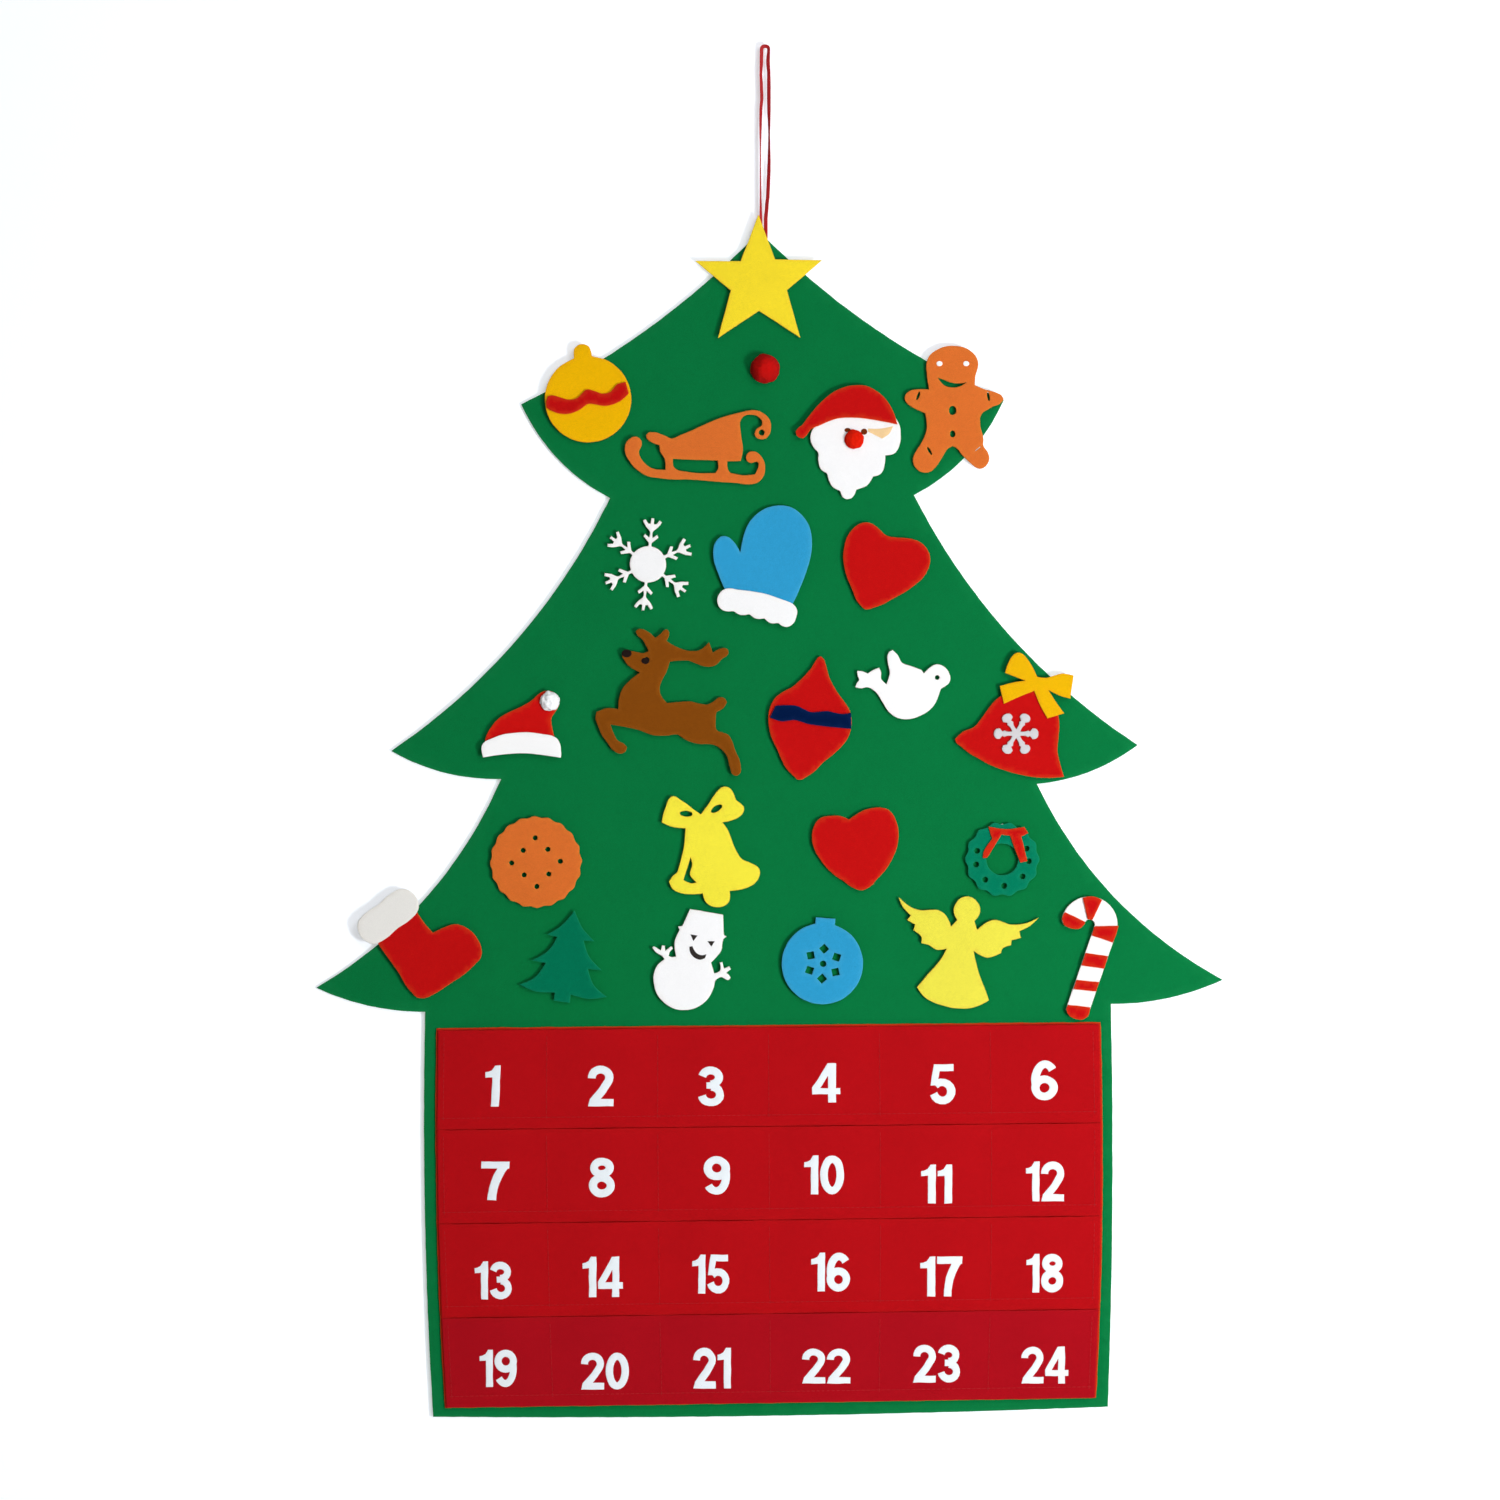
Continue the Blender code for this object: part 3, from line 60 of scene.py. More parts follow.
def onPlane(px, py):
    return Vector(((px - pixel["nailX"]) * pixel["size"], (pixel["nailY"] - py) * pixel["size"]))


def srgb(red, green, blue):
    def linear(value):
        value /= 255
        return value / 12.92 if value <= 0.04045 else ((value + 0.055) / 1.055) ** 2.4
    return linear(red), linear(green), linear(blue)


def clip(value, low=0, high=1):
    return min(high, max(low, value))


def ease(low, high, value):
    t = clip((value - low) / (high - low))
    return t * t * (3 - 2 * t)


# helpers for node trees

def feed(tree, node, inputs):
    # gives each input its value, or a link where that is another node's socket
    for key, value in inputs.items():
        if isinstance(value, bpy.types.NodeSocket):
            tree.links.new(value, node.inputs[key])
        else:
            node.inputs[key].default_value = value
    return node


def addNode(tree, kind, inputs=None, **settings):
    node = tree.nodes.new(kind)
    for key, value in settings.items():
        setattr(node, key, value)
    return feed(tree, node, inputs or {})


def newSocket(tree, name, direction, kind, value=None):
    socket = tree.interface.new_socket(
        name=name, in_out=direction, socket_type="NodeSocket" + kind)
    if value is not None:
        socket.default_value = value


def mathNode(tree, operation, first, second=None, clamp=False):
    inputs = {0: first} if second is None else {0: first, 1: second}
    return addNode(tree, "ShaderNodeMath", inputs, operation=operation, use_clamp=clamp).outputs[0]


def swing(tree, value, middle, amount, clamp=False):
    # how far a value stands from its middle, times an amount
    return mathNode(tree, "MULTIPLY", mathNode(tree, "SUBTRACT", value, middle), amount, clamp)


def spread(tree, value, low, high):
    # takes a value between 0 and 1 to one between two others
    inputs = {"Value": value, "To Min": low, "To Max": high}
    return addNode(tree, "ShaderNodeMapRange", inputs).outputs["Result"]


def scaleVector(tree, vector, amount):
    inputs = {0: vector, "Scale": amount}
    return addNode(tree, "ShaderNodeVectorMath", inputs, operation="SCALE").outputs[0]


def objectPlace(tree):
    return tree.nodes.new("ShaderNodeTexCoord").outputs["Object"]


def rimShare(tree):
    # how near the cut edge a place is, as the mesh tells it
    return addNode(tree, "ShaderNodeAttribute", attribute_name="rim").outputs["Fac"]


def noiseNode(tree, place, scale, detail=2, roughness=0.5, distortion=0):
    inputs = {"Vector": place, "Scale": scale, "Detail": detail, "Roughness": roughness,
              "Distortion": distortion}
    return addNode(tree, "ShaderNodeTexNoise", inputs).outputs["Fac"]


def mixColour(tree, factor, first, second):
    # each colour is a socket or three linear values
    inputs = {"Factor": factor}
    for index, colour in ((6, first), (7, second)):
        inputs[index] = (*colour, 1) if isinstance(colour, tuple) else colour
    return addNode(tree, "ShaderNodeMix", inputs, data_type="RGBA").outputs[2]


def bumpNormal(tree, height, distance, strength=1):
    inputs = {"Height": height, "Distance": distance, "Strength": strength}
    return addNode(tree, "ShaderNodeBump", inputs).outputs["Normal"]


def newMaterial(name):
    material = bpy.data.materials.new(name)
    material.use_nodes = True
    return material, material.node_tree, material.node_tree.nodes["Principled BSDF"]


# helpers for things and pieces

def addThing(name, data):
    thing = bpy.data.objects.new(name, data)
    bpy.context.scene.collection.objects.link(thing)
    return thing


def meshPiece(name, places, faces, material, rims):
    # a new piece from plain geometry, its faces turned outwards
    mesh = bpy.data.meshes.new(name)
    mesh.from_pydata([tuple(place) for place in places], [], faces)
    mesh.attributes.new("rim", "FLOAT", "POINT").data.foreach_set("value", rims)
    shape = bmesh.new()
    shape.from_mesh(mesh)
    bmesh.ops.recalc_face_normals(shape, faces=shape.faces)
    shape.to_mesh(mesh)
    shape.free()
    mesh.shade_smooth()
    mesh.materials.append(material)
    return addThing(name, mesh)


def finishPiece(piece, body, slot, *nodes):
    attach(piece, body)
    if nodes:
        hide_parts(*nodes)


feltPieces = {}


def finishFelt(piece, body, slot, *nodes):
    # a piece whose cut edge gets loose fibres
    feltPieces.setdefault(body, []).append(piece)
    finishPiece(piece, body, slot, *nodes)


# camera, lamps and room
cameraSet = {"lens": 90, "distance": 3.0, "centrePixel": (750, 750), "clipEnd": 50}
lampSet = {
    "key": {"place": (1.1, -1.5, -1.0), "size": 0.45, "watts": 26.8},
    "fill": {"place": (0.9, -2.1, 0.5), "size": 1.2, "watts": 20.6},
    "back": {"place": (0.7, 2.3, 0.1), "size": 1.6, "watts": 42},
    "aim": (0, 0, -0.6), "skyStrength": 0.26,
}
roomSet = {
    "wallY": 0.0048, "wallHalf": 4, "floorZ": -2.2, "floorHalf": 7,
    "wallColour": (0.74, 0.79, 0.86), "floorColour": (0.82, 0.82, 0.82), "lift": 0.42,
    # the wall lets through rays that are shorter than this, so light reaches the tree's back
    "shortRay": 0.0056,
}


def makeCamera():
    view = bpy.data.cameras.new("photoCamera")
    view.lens = cameraSet["lens"]
    view.clip_end = cameraSet["clipEnd"]
    camera = addThing("photoCamera", view)
    across, up = onPlane(*cameraSet["centrePixel"])
    camera.location = (across, -cameraSet["distance"], up)
    camera.rotation_euler = (math.radians(90), 0, 0)
    bpy.context.scene.camera = camera


def makeLamps():
    for name in ("key", "fill", "back"):
        light = bpy.data.lights.new(name + "Lamp", "AREA")
        light.shape = "DISK"
        light.size = lampSet[name]["size"]
        light.energy = lampSet[name]["watts"]
        lamp = addThing(name + "Lamp", light)
        lamp.location = lampSet[name]["place"]
        way = Vector(lampSet["aim"]) - lamp.location
        lamp.rotation_euler = way.to_track_quat("-Z", "Y").to_euler()


def seenByEye(tree):
    # 1 where the camera, a mirror or glass looks straight at this, 0 where it only lights things
    path = tree.nodes.new("ShaderNodeLightPath").outputs
    eye = mathNode(tree, "MAXIMUM", path["Is Camera Ray"], path["Is Glossy Ray"])
    return mathNode(tree, "MAXIMUM", eye, path["Is Transmission Ray"])


def makeSky():
    world = bpy.data.worlds.new("studio")
    world.use_nodes = True
    tree = world.node_tree
    feed(tree, tree.nodes["Background"], {
        "Color": (1, 1, 1, 1),
        "Strength": spread(tree, seenByEye(tree), lampSet["skyStrength"], 1),
    })
    bpy.context.scene.world = world


def roomMaterial(name):
    # a pale paint, lifted to white where it is seen; one-sided, so a view from behind sees through
    material, tree, _ = newMaterial("studio_" + name)
    tree.nodes.clear()
    paint = addNode(tree, "ShaderNodeBsdfDiffuse", {"Color": (*roomSet[name + "Colour"], 1)})
    lift = mathNode(tree, "MULTIPLY", seenByEye(tree), roomSet["lift"])
    glow = addNode(tree, "ShaderNodeEmission", {"Strength": lift})
    both = addNode(tree, "ShaderNodeAddShader", {0: paint.outputs[0], 1: glow.outputs[0]})
    path = tree.nodes.new("ShaderNodeLightPath")
    near = mathNode(tree, "LESS_THAN", path.outputs["Ray Length"], roomSet["shortRay"])
    sides = tree.nodes.new("ShaderNodeNewGeometry")
    through = mathNode(tree, "MAXIMUM", sides.outputs["Backfacing"], near)
    clear = tree.nodes.new("ShaderNodeBsdfTransparent")
    pick = addNode(tree, "ShaderNodeMixShader", {
        0: through, 1: both.outputs[0], 2: clear.outputs[0]})
    addNode(tree, "ShaderNodeOutputMaterial", {"Surface": pick.outputs[0]})
    return material


def makeRoom():
    floor, half, reach = roomSet["floorZ"], roomSet["wallHalf"], roomSet["floorHalf"]
    wall = roomSet["wallY"]
    shapes = {
        "wall": ((-half, wall, floor), (half, wall, floor), (half, wall, half),
                 (-half, wall, half)),
        "floor": ((-reach, -reach, floor), (reach, -reach, floor), (reach, reach, floor),
                  (-reach, reach, floor)),
    }
    for name, places in shapes.items():
        mesh = bpy.data.meshes.new("studio_" + name)
        mesh.from_pydata(places, [], [(0, 1, 2, 3)])
        mesh.materials.append(roomMaterial(name))
        addThing("studio_" + name, mesh)


makeCamera()
makeLamps()
makeSky()
print("camera and lamps are up")


# the hanging ribbon, read from its tails up to the nail
ribbonSet = {
    "width": 0.0032, "thickness": 0.0004, "tailEnd": -0.1779, "shoulder": -0.0036,
    "strandSteps": 72, "crownSteps": 16, "crownRise": 0.0026, "crownSquare": 0.8,
    # how far the face is turned from the front, in degrees
    "leftTurns": (0, 0, 8, 22, 43, 57, 65, 69, 71, 74, 71, 61, 49, 41, 32, 35, 46, 26, 18),
    "rightTurns": (0, 0, 5, 13, 10, 22, 20, 22, 28, 44, 58, 67, 53, 28, 20, 18, 32, 17, 42),
    # how far each strand stands from the nail, in millimetres
    "leftPlaces": (-4.4, -4.3, -4.25, -4.2, -4.2, -4.2, -4.3, -4.35, -4.4, -4.4, -4.4, -4.4, -4.3,
                   -4.1, -3.4, -3.7, -4.1, -3.7, -3.5),
    "rightPlaces": (-0.4, -0.4, -0.4, -0.2, -0.2, 0.6, 1.5, 1.9, 2.3, 2.5, 2.5, 2.5, 2.5, 2.35,
                    2.3, 2.3, 2.2, 1.6, 2.1),
    # the band's section: across, out and how much of the paler edge colour, as shares
    "section": ((-1, 0, 1), (-0.95, 0.8, 0.4), (-0.7, 1, 0), (0.7, 1, 0), (0.95, 0.8, 0.4),
                (1, 0, 1), (0.95, -0.8, 0.4), (0.7, -1, 0), (-0.7, -1, 0), (-0.95, -0.8, 0.4)),
}
# the edge colour is partly a paler selvedge and partly a painted highlight
satinLook = {
    "colour": (168, 14, 22), "edge": (204, 62, 48), "sheen": 0.03, "specular": 0.28,
    "roughness": (0.4, 0.6), "ribScale": 5200 / 6, "ribDistortion": 0.6, "ribHeight": 0.00006,
    "cloudScale": 60, "cloudTone": (0.72, 1.2),
}


def readAlong(values, share):
    # a smooth reading between evenly spaced values
    at = share * (len(values) - 1)
    index = min(int(at), len(values) - 2)
    t = at - index
    t = t * t * (3 - 2 * t)
    return values[index] * (1 - t) + values[index + 1] * t


def ribbonRoute():
    # up the left strand, over the nail and down the right one, with the turn of the face
    foot, shoulder = ribbonSet["tailEnd"], ribbonSet["shoulder"]
    strands, tops = [], []
    for side in ("left", "right"):
        places, turns = ribbonSet[side + "Places"], ribbonSet[side + "Turns"]
        strand = []
        for step in range(ribbonSet["strandSteps"]):
            share = step / ribbonSet["strandSteps"]
            across = readAlong(places, share) * 0.001
            turn = math.radians(readAlong(turns, share))
            strand.append((Vector((across, 0, foot + (shoulder - foot) * share)), turn))
        strands.append(strand)
        tops.append((places[-1] * 0.001, turns[-1]))
    (start, firstTurn), (end, lastTurn) = tops
    square = ribbonSet["crownSquare"]
    crown = []
    for step in range(ribbonSet["crownSteps"] + 1):
        share = step / ribbonSet["crownSteps"]
        angle = math.pi * (1 - share)
        across = math.copysign(abs(math.cos(angle)) ** square, math.cos(angle))
        up = shoulder + math.sin(angle) ** square * ribbonSet["crownRise"]
        spot = Vector(((start + end) / 2 + across * (end - start) / 2, 0, up))
        crown.append((spot, math.radians(firstTurn + (lastTurn - firstTurn) * share)))
    return strands[0] + crown + strands[1][::-1]


def satinMaterial():
    # polyester satin: fine ribs across the ribbon, a soft shine, and a paler edge that is partly
    # selvedge and partly painted highlight
    material, tree, shader = newMaterial("satin_ribbon")
    place = objectPlace(tree)
    waves = {"Vector": place, "Scale": satinLook["ribScale"],
             "Distortion": satinLook["ribDistortion"]}
    rib = addNode(tree, "ShaderNodeTexWave", waves, bands_direction="Z").outputs["Fac"]
    cloud = noiseNode(tree, place, satinLook["cloudScale"])
    dye = mixColour(tree, rimShare(tree), srgb(*satinLook["colour"]), srgb(*satinLook["edge"]))
    feed(tree, shader, {
        "Sheen Weight": satinLook["sheen"],
        "Specular IOR Level": satinLook["specular"],
        "Base Color": scaleVector(tree, dye, spread(tree, cloud, *satinLook["cloudTone"])),
        "Roughness": spread(tree, rib, *satinLook["roughness"]),
        "Normal": bumpNormal(tree, rib, satinLook["ribHeight"]),
    })
    return material


def makeRibbon():
    # a thin band swept along the route, its face turning as it goes
    route = ribbonRoute()
    half, thin = ribbonSet["width"] / 2, ribbonSet["thickness"] / 2
    section = ribbonSet["section"]
    places, rims, faces = [], [], []
    for i, (spot, turn) in enumerate(route):
        along = route[min(i + 1, len(route) - 1)][0] - route[max(i - 1, 0)][0]
        along.normalize()
        flat = Vector((along.z, 0, -along.x))
        wide = flat * math.cos(turn) + Vector((0, 1, 0)) * math.sin(turn)
        deep = along.cross(wide)
        for across, out, rim in section:
            places.append(spot + wide * half * across + deep * thin * out)
            rims.append(rim)
    count = len(section)
    for i in range(len(route) - 1):
        for j in range(count):
            k = (j + 1) % count
            faces.append((i * count + j, i * count + k, (i + 1) * count + k, (i + 1) * count + j))
    faces.append(tuple(range(count))[::-1])
    last = (len(route) - 1) * count
    faces.append(tuple(range(last, last + count)))
    ribbon = meshPiece("ribbon_loop", places, faces, satinMaterial(), rims)
    finishPiece(ribbon, "calendar", "satin_ribbon", "hanging_loop")
    path = [spot for spot, _ in route]
    length = round(sum((b - a).length for a, b in zip(path, path[1:])), 3)
    tuple(path[0])
    [tuple(p) for p in path]
    print("ribbon is", length, "m long")


makeRibbon()


# felt: three layers of noise, each with its scale, detail, roughness and distortion
feltLook = {
    "fibreScale": 1500, "fibreNoise": (3, 0.62, 2.6), "clumpNoise": (420, 5, 0.6, 1.4),
    "mottleNoise": (26, 3, 0.55, 0.4), "fibreTone": 0.34, "clumpTone": 0.20, "mottleTone": 0.10,
    "ridgeSharpness": 7.5, "strandMiddle": 0.45, "strandHeight": 0.5, "clumpHeight": 0.7,
    "lintFrom": 0.60, "lintGain": 6.0, "lintShare": 0.16, "bumpDistance": 0.00035,
    "bumpStrength": 0.55, "sheen": 0.012, "sheenRoughness": 0.5, "specular": 0.02,
    "roughness": 0.99, "strandGloss": 0.08, "whiteTone": 0.35,
}
# colour, then a paler tone: painted highlight along the cut edge, and the tone of the lint
feltColours = {
    "green_felt": ((7, 112, 58), (30, 140, 80)),
    "red_felt": ((188, 15, 16), (226, 92, 34)),
    "white_felt": ((246, 246, 247), (250, 246, 238)),
    "yellow_felt": ((243, 217, 46), (246, 200, 60)),
    "amber_felt": ((237, 180, 6), (242, 160, 30)),
    "pale_yellow_felt": ((225, 216, 72), (232, 192, 72)),
    "brown_felt": ((213, 108, 45), (225, 130, 50)),
    "dark_brown_felt": ((127, 68, 12), (160, 92, 26)),
    "blue_felt": ((46, 151, 200), (84, 176, 214)),
    "navy_felt": ((1, 23, 64), (26, 46, 94)),
    "teal_felt": ((2, 117, 86), (26, 144, 104)),
    "pocket_red": ((173, 13, 20), (182, 22, 22)),
}
# pieces whose colour differs from the rest of their slot: most by their own dye, some by painted
# light or painted shade; the second colour is again the painted edge highlight
ownDyesAndPaintedLight = {
    "stocking_cuff": ((237, 235, 230), (240, 234, 224)),
    "red_bell_snowflake": ((206, 206, 210), (204, 190, 188)),
    "hat_pompom": ((250, 252, 254), (250, 252, 254)),
    "blue_bauble": ((44, 149, 196), (80, 172, 210)),
    "red_ball": ((184, 9, 13), (206, 44, 22)),
    # the hat's crown and brim: lighter copies of red and white felt, painted light where the hat
    # lies in shade
    "hat_crown": ((199, 17, 16), (230, 94, 34)),
    "hat_brim": ((254, 254, 254), (254, 252, 248)),
    "pocket_backing": ((173, 13, 20), (218, 88, 24)),
    "red_bell_bow": ((227, 174, 9), (236, 158, 28)),
    # the lowest pocket row: a darker copy of the pocket red, painted shade where the field gets
    # less light towards its foot
    "pocket_row_4": ((163, 13, 25), (174, 22, 26)),
    "santa_nose": ((216, 22, 6), (230, 60, 20)),
    "yellow_bell": ((238, 225, 62), (244, 204, 66)),
    "small_tree": ((1, 110, 78), (22, 138, 98)),
}


def makeFibreGroup():
    # matted wool: curling fibres, small clumps, broad uneven dye, lint that catches light, and a
    # painted highlight along the cut edge
    group = bpy.data.node_groups.new("mattedFibres", "ShaderNodeTree")
    newSocket(group, "Colour", "INPUT", "Color", (0.5, 0.5, 0.5, 1))
    newSocket(group, "Edge Highlight And Lint Colour", "INPUT", "Color", (0.7, 0.7, 0.7, 1))
    newSocket(group, "Edge", "INPUT", "Float", 0.0)
    newSocket(group, "Fibre Scale", "INPUT", "Float", feltLook["fibreScale"])
    newSocket(group, "Tone", "INPUT", "Float", 1.0)
    newSocket(group, "Colour", "OUTPUT", "Color")
    newSocket(group, "Height", "OUTPUT", "Float")
    newSocket(group, "Roughness", "OUTPUT", "Float")
    given = group.nodes.new("NodeGroupInput").outputs
    place = objectPlace(group)
    fibres = noiseNode(group, place, given["Fibre Scale"], *feltLook["fibreNoise"])
    clumps = noiseNode(group, place, *feltLook["clumpNoise"])
    mottle = noiseNode(group, place, *feltLook["mottleNoise"])
    # strands: thin bright ridges where the noise crosses its middle
    ridge = mathNode(group, "ABSOLUTE", mathNode(group, "SUBTRACT", fibres, 0.5))
    ridge = mathNode(group, "MULTIPLY", ridge, feltLook["ridgeSharpness"])
    strand = mathNode(group, "SUBTRACT", 1.0, ridge, clamp=True)
    tone = swing(group, strand, feltLook["strandMiddle"], feltLook["fibreTone"])
    tone = mathNode(group, "ADD", tone, swing(group, clumps, 0.5, feltLook["clumpTone"]))
    tone = mathNode(group, "ADD", tone, swing(group, mottle, 0.5, feltLook["mottleTone"]))
    tone = mathNode(group, "ADD", mathNode(group, "MULTIPLY", tone, given["Tone"]), 1.0)
    lint = swing(group, clumps, feltLook["lintFrom"], feltLook["lintGain"], clamp=True)
    lint = mathNode(group, "MULTIPLY", lint, strand)
    lint = mathNode(group, "MULTIPLY", lint, feltLook["lintShare"])
    colour = scaleVector(group, given["Colour"], tone)
    colour = mixColour(group, lint, colour, given["Edge Highlight And Lint Colour"])
    height = mathNode(group, "MULTIPLY", strand, feltLook["strandHeight"])
    height = mathNode(group, "ADD",
                      mathNode(group, "MULTIPLY", clumps, feltLook["clumpHeight"]), height)
    gloss = mathNode(group, "MULTIPLY", strand, -feltLook["strandGloss"])
    # towards the cut edge the colour goes over to the painted edge highlight
    addNode(group, "NodeGroupOutput", {
        "Colour": mixColour(group, given["Edge"], colour, given["Edge Highlight And Lint Colour"]),
        "Height": height,
        "Roughness": mathNode(group, "ADD", gloss, feltLook["roughness"]),
    })
    return group


fibreGroup = makeFibreGroup()


def makeFeltMaterial(name, colour, edgeHighlightAndLintColour, tone=1.0, sheen=feltLook["sheen"]):
    material, tree, shader = newMaterial(name)
    felt = addNode(tree, "ShaderNodeGroup", node_tree=fibreGroup)
    feed(tree, felt, {"Colour": (*srgb(*colour), 1), "Edge Highlight And Lint Colour": (*srgb(*edgeHighlightAndLintColour), 1),
                      "Edge": rimShare(tree), "Tone": tone})
    feed(tree, shader, {
        "Sheen Weight": sheen,
        "Sheen Roughness": feltLook["sheenRoughness"],
        "Specular IOR Level": feltLook["specular"],
        "Base Color": felt.outputs["Colour"],
        "Roughness": felt.outputs["Roughness"],
        "Normal": bumpNormal(tree, felt.outputs["Height"], feltLook["bumpDistance"],
                             feltLook["bumpStrength"]),
    })
    return material


def toneFor(slot):
    # white felt shows its fibres less
    return feltLook["whiteTone"] if slot == "white_felt" else 1.0


feltMaterials = {
    slot: makeFeltMaterial(slot, *colours, toneFor(slot)) for slot, colours in feltColours.items()
}
for node, colours in ownDyesAndPaintedLight.items():
    feltMaterials[node] = makeFeltMaterial(node + "_felt", *colours, toneFor(slotOfNode[node]))


def feltFor(node):
    return feltMaterials.get(node) or feltMaterials[slotOfNode[node]]


# flat shapes cut from a sheet
cutSet = {
    "pointStep": 0.0012, "innerStep": 0.0034, "cornerDegrees": 50,
    # a leg this many times longer than its neighbour counts as straight
    "longLeg": 2.2,
    # how far the edge is rounded: the first that doesn't make the loops cross is taken
    "insets": (0.0004, 0.0002, 0.0001, 0.0),
    # from the face round to the side: shares of the inset and the depth, and how much painted edge
    # highlight it takes
    "edgeProfile": ((1, 0, 0.2), (0.3, 0.25, 0.85), (0, 0.9, 1)), "deepest": 0.45,
    "wobble": 0.00016, "wobbleScale": 110, "dimple": 0.00014, "dimpleScale": 95,
}


def polygonArea(loop):
    return sum(loop[i - 1][0] * p[1] - p[0] * loop[i - 1][1] for i, p in enumerate(loop)) / 2


def insideLoops(points, loops, batch=2000):
    # even-odd test of many points against all loops at once
    points = np.asarray(points, float)
    inside = np.zeros(len(points), bool)
    starts = np.concatenate([np.asarray(loop, float) for loop in loops])
    ends = np.concatenate([np.roll(np.asarray(loop, float), -1, axis=0) for loop in loops])
    for first in range(0, len(points), batch):
        x = points[first:first + batch, 0, None]
        z = points[first:first + batch, 1, None]
        crosses = (starts[:, 1] > z) != (ends[:, 1] > z)
        run = np.where(ends[:, 1] == starts[:, 1], 1, ends[:, 1] - starts[:, 1])
        at = starts[:, 0] + (z - starts[:, 1]) / run * (ends[:, 0] - starts[:, 0])
        inside[first:first + batch] = (crosses & (x < at)).sum(1) % 2 == 1
    return inside


def traceLoops(following, places):
    # walks from point to point till each loop closes, the largest loop first
    loops = []
    while following:
        start, step = following.popitem()
        loop = [start]
        while step != start:
            loop.append(step)
            step = following.pop(step)
        loops.append([places[index] for index in loop])
    return sorted(loops, key=lambda loop: -abs(polygonArea(loop)))


def nodeOutline(node):
    # the loops that bound a CAD node's front face, in metres, and how far back that face lies
    shape = bmesh.new()
    shape.from_mesh(frame["nodes"][node].data)
    bmesh.ops.remove_doubles(shape, verts=shape.verts, dist=0.000005)
    front = min(vertex.co.y for vertex in shape.verts)
    faces = [
        face for face in shape.faces
        if face.normal.y < -0.9 and all(v.co.y - front < 0.00001 for v in face.verts)
    ]
    flat = set(faces)
    following = {}
    for face in faces:
        for loop in face.loops:
            if not any(other in flat for other in loop.edge.link_faces if other is not face):
                following[loop.vert.index] = loop.link_loop_next.vert.index
    places = {vertex.index: Vector((vertex.co.x, vertex.co.z)) for vertex in shape.verts}
    shape.free()
    return traceLoops(following, places), front


def smoothLoop(points, cornersKept=True, step=cutSet["pointStep"]):
    # a denser loop through the points: curves stay round, true corners stay sharp
    count = len(points)
    limit = math.radians(cutSet["cornerDegrees"])
    legs = [points[(i + 1) % count] - points[i] for i in range(count)]
    corner = [cornersKept and legs[i - 1].angle(legs[i], 0) > limit for i in range(count)]
    # where a long straight leg meets a short one of an arc, the curve runs on along the long one
    ways = []
    for i in range(count):
        before, after = legs[i - 1], legs[i]
        if before.length > after.length * cutSet["longLeg"]:
            ways.append(before.normalized())
        elif after.length > before.length * cutSet["longLeg"]:
            ways.append(after.normalized())
        else:
            ways.append((before.normalized() + after.normalized()).normalized())
    dense = []
    for i, leg in enumerate(legs):
        length = leg.length
        after = (i + 1) % count
        way = leg / length
        leave = way if corner[i] else ways[i]
        arrive = way if corner[after] else ways[after]
        steps = max(1, round(length / step))
        for number in range(steps):
            t = number / steps
            dense.append(points[i] * (2 * t ** 3 - 3 * t ** 2 + 1)
                         + leave * length * (t ** 3 - 2 * t ** 2 + t)
                         + points[after] * (3 * t ** 2 - 2 * t ** 3)
                         + arrive * length * (t ** 3 - t ** 2))
    return dense


def handCut(loop, amount, seed):
    # scissors and dies leave an edge that wanders a little
    moved = []
    for point in loop:
        spot = Vector((point.x, point.y, seed * 0.37)) * cutSet["wobbleScale"]
        sway = Vector((noise.noise(spot), noise.noise(spot + Vector((9, 4, 2)))))
        moved.append(point + sway * amount)
    return moved


def insetLoop(loop, distance, outer):
    # moves a loop into the felt: inwards for the outer edge, outwards for a hole
    turn = 1 if polygonArea(loop) > 0 else -1
    if not outer:
        turn = -turn
    moved = []
    for i, point in enumerate(loop):
        along = loop[(i + 1) % len(loop)] - loop[i - 1]
        side = Vector((-along.y, along.x)).normalized() * turn
        moved.append(point + side * distance)
    return moved


def fillPoints(loops, spacing, seed):
    # a staggered grid of points inside the loops, kept clear of their edges
    chooser = random.Random(seed)
    outline = np.array([p[:] for loop in loops for p in loop])
    low, high = outline.min(0), outline.max(0)
    grid = []
    row = 0
    z = low[1]
    while z < high[1]:
        x = low[0] + (spacing / 2 if row % 2 else 0)
        while x < high[0]:
            grid.append((x + chooser.uniform(-0.2, 0.2) * spacing,
                         z + chooser.uniform(-0.2, 0.2) * spacing))
            x += spacing
        z += spacing * 0.87
        row += 1
    if not grid:
        return []
    kept = [point for point, within in zip(grid, insideLoops(grid, loops)) if within]
    tree = kdtree.KDTree(len(outline))
    for index, point in enumerate(outline):
        tree.insert((point[0], point[1], 0), index)
    tree.balance()
    return [Vector(p) for p in kept if tree.find((p[0], p[1], 0))[2] > spacing * 0.5]


def loopEdges(loops):
    # all the loops' points in one list, and the edges between them
    points, edges = [], []
    for loop in loops:
        start = len(points)
        points += loop
        edges += [(start + i, start + (i + 1) % len(loop)) for i in range(len(loop))]
    return points, edges


def triangulate(loops, inner):
    # triangles between the loops and through the inner points, or nothing if loops cross
    points, edges = loopEdges(loops)
    points += inner
    made, _, faces, sources, _, _ = delaunay_2d_cdt(points, edges, [], 0, 1e-9)
    if len(made) != len(points) or any(not source for source in sources):
        return None
    centres = [sum((made[i] for i in face), Vector((0, 0))) / len(face) for face in faces]
    within = insideLoops([c[:] for c in centres], loops)
    return [[sources[i][0] for i in face] for face, keep in zip(faces, within) if keep]


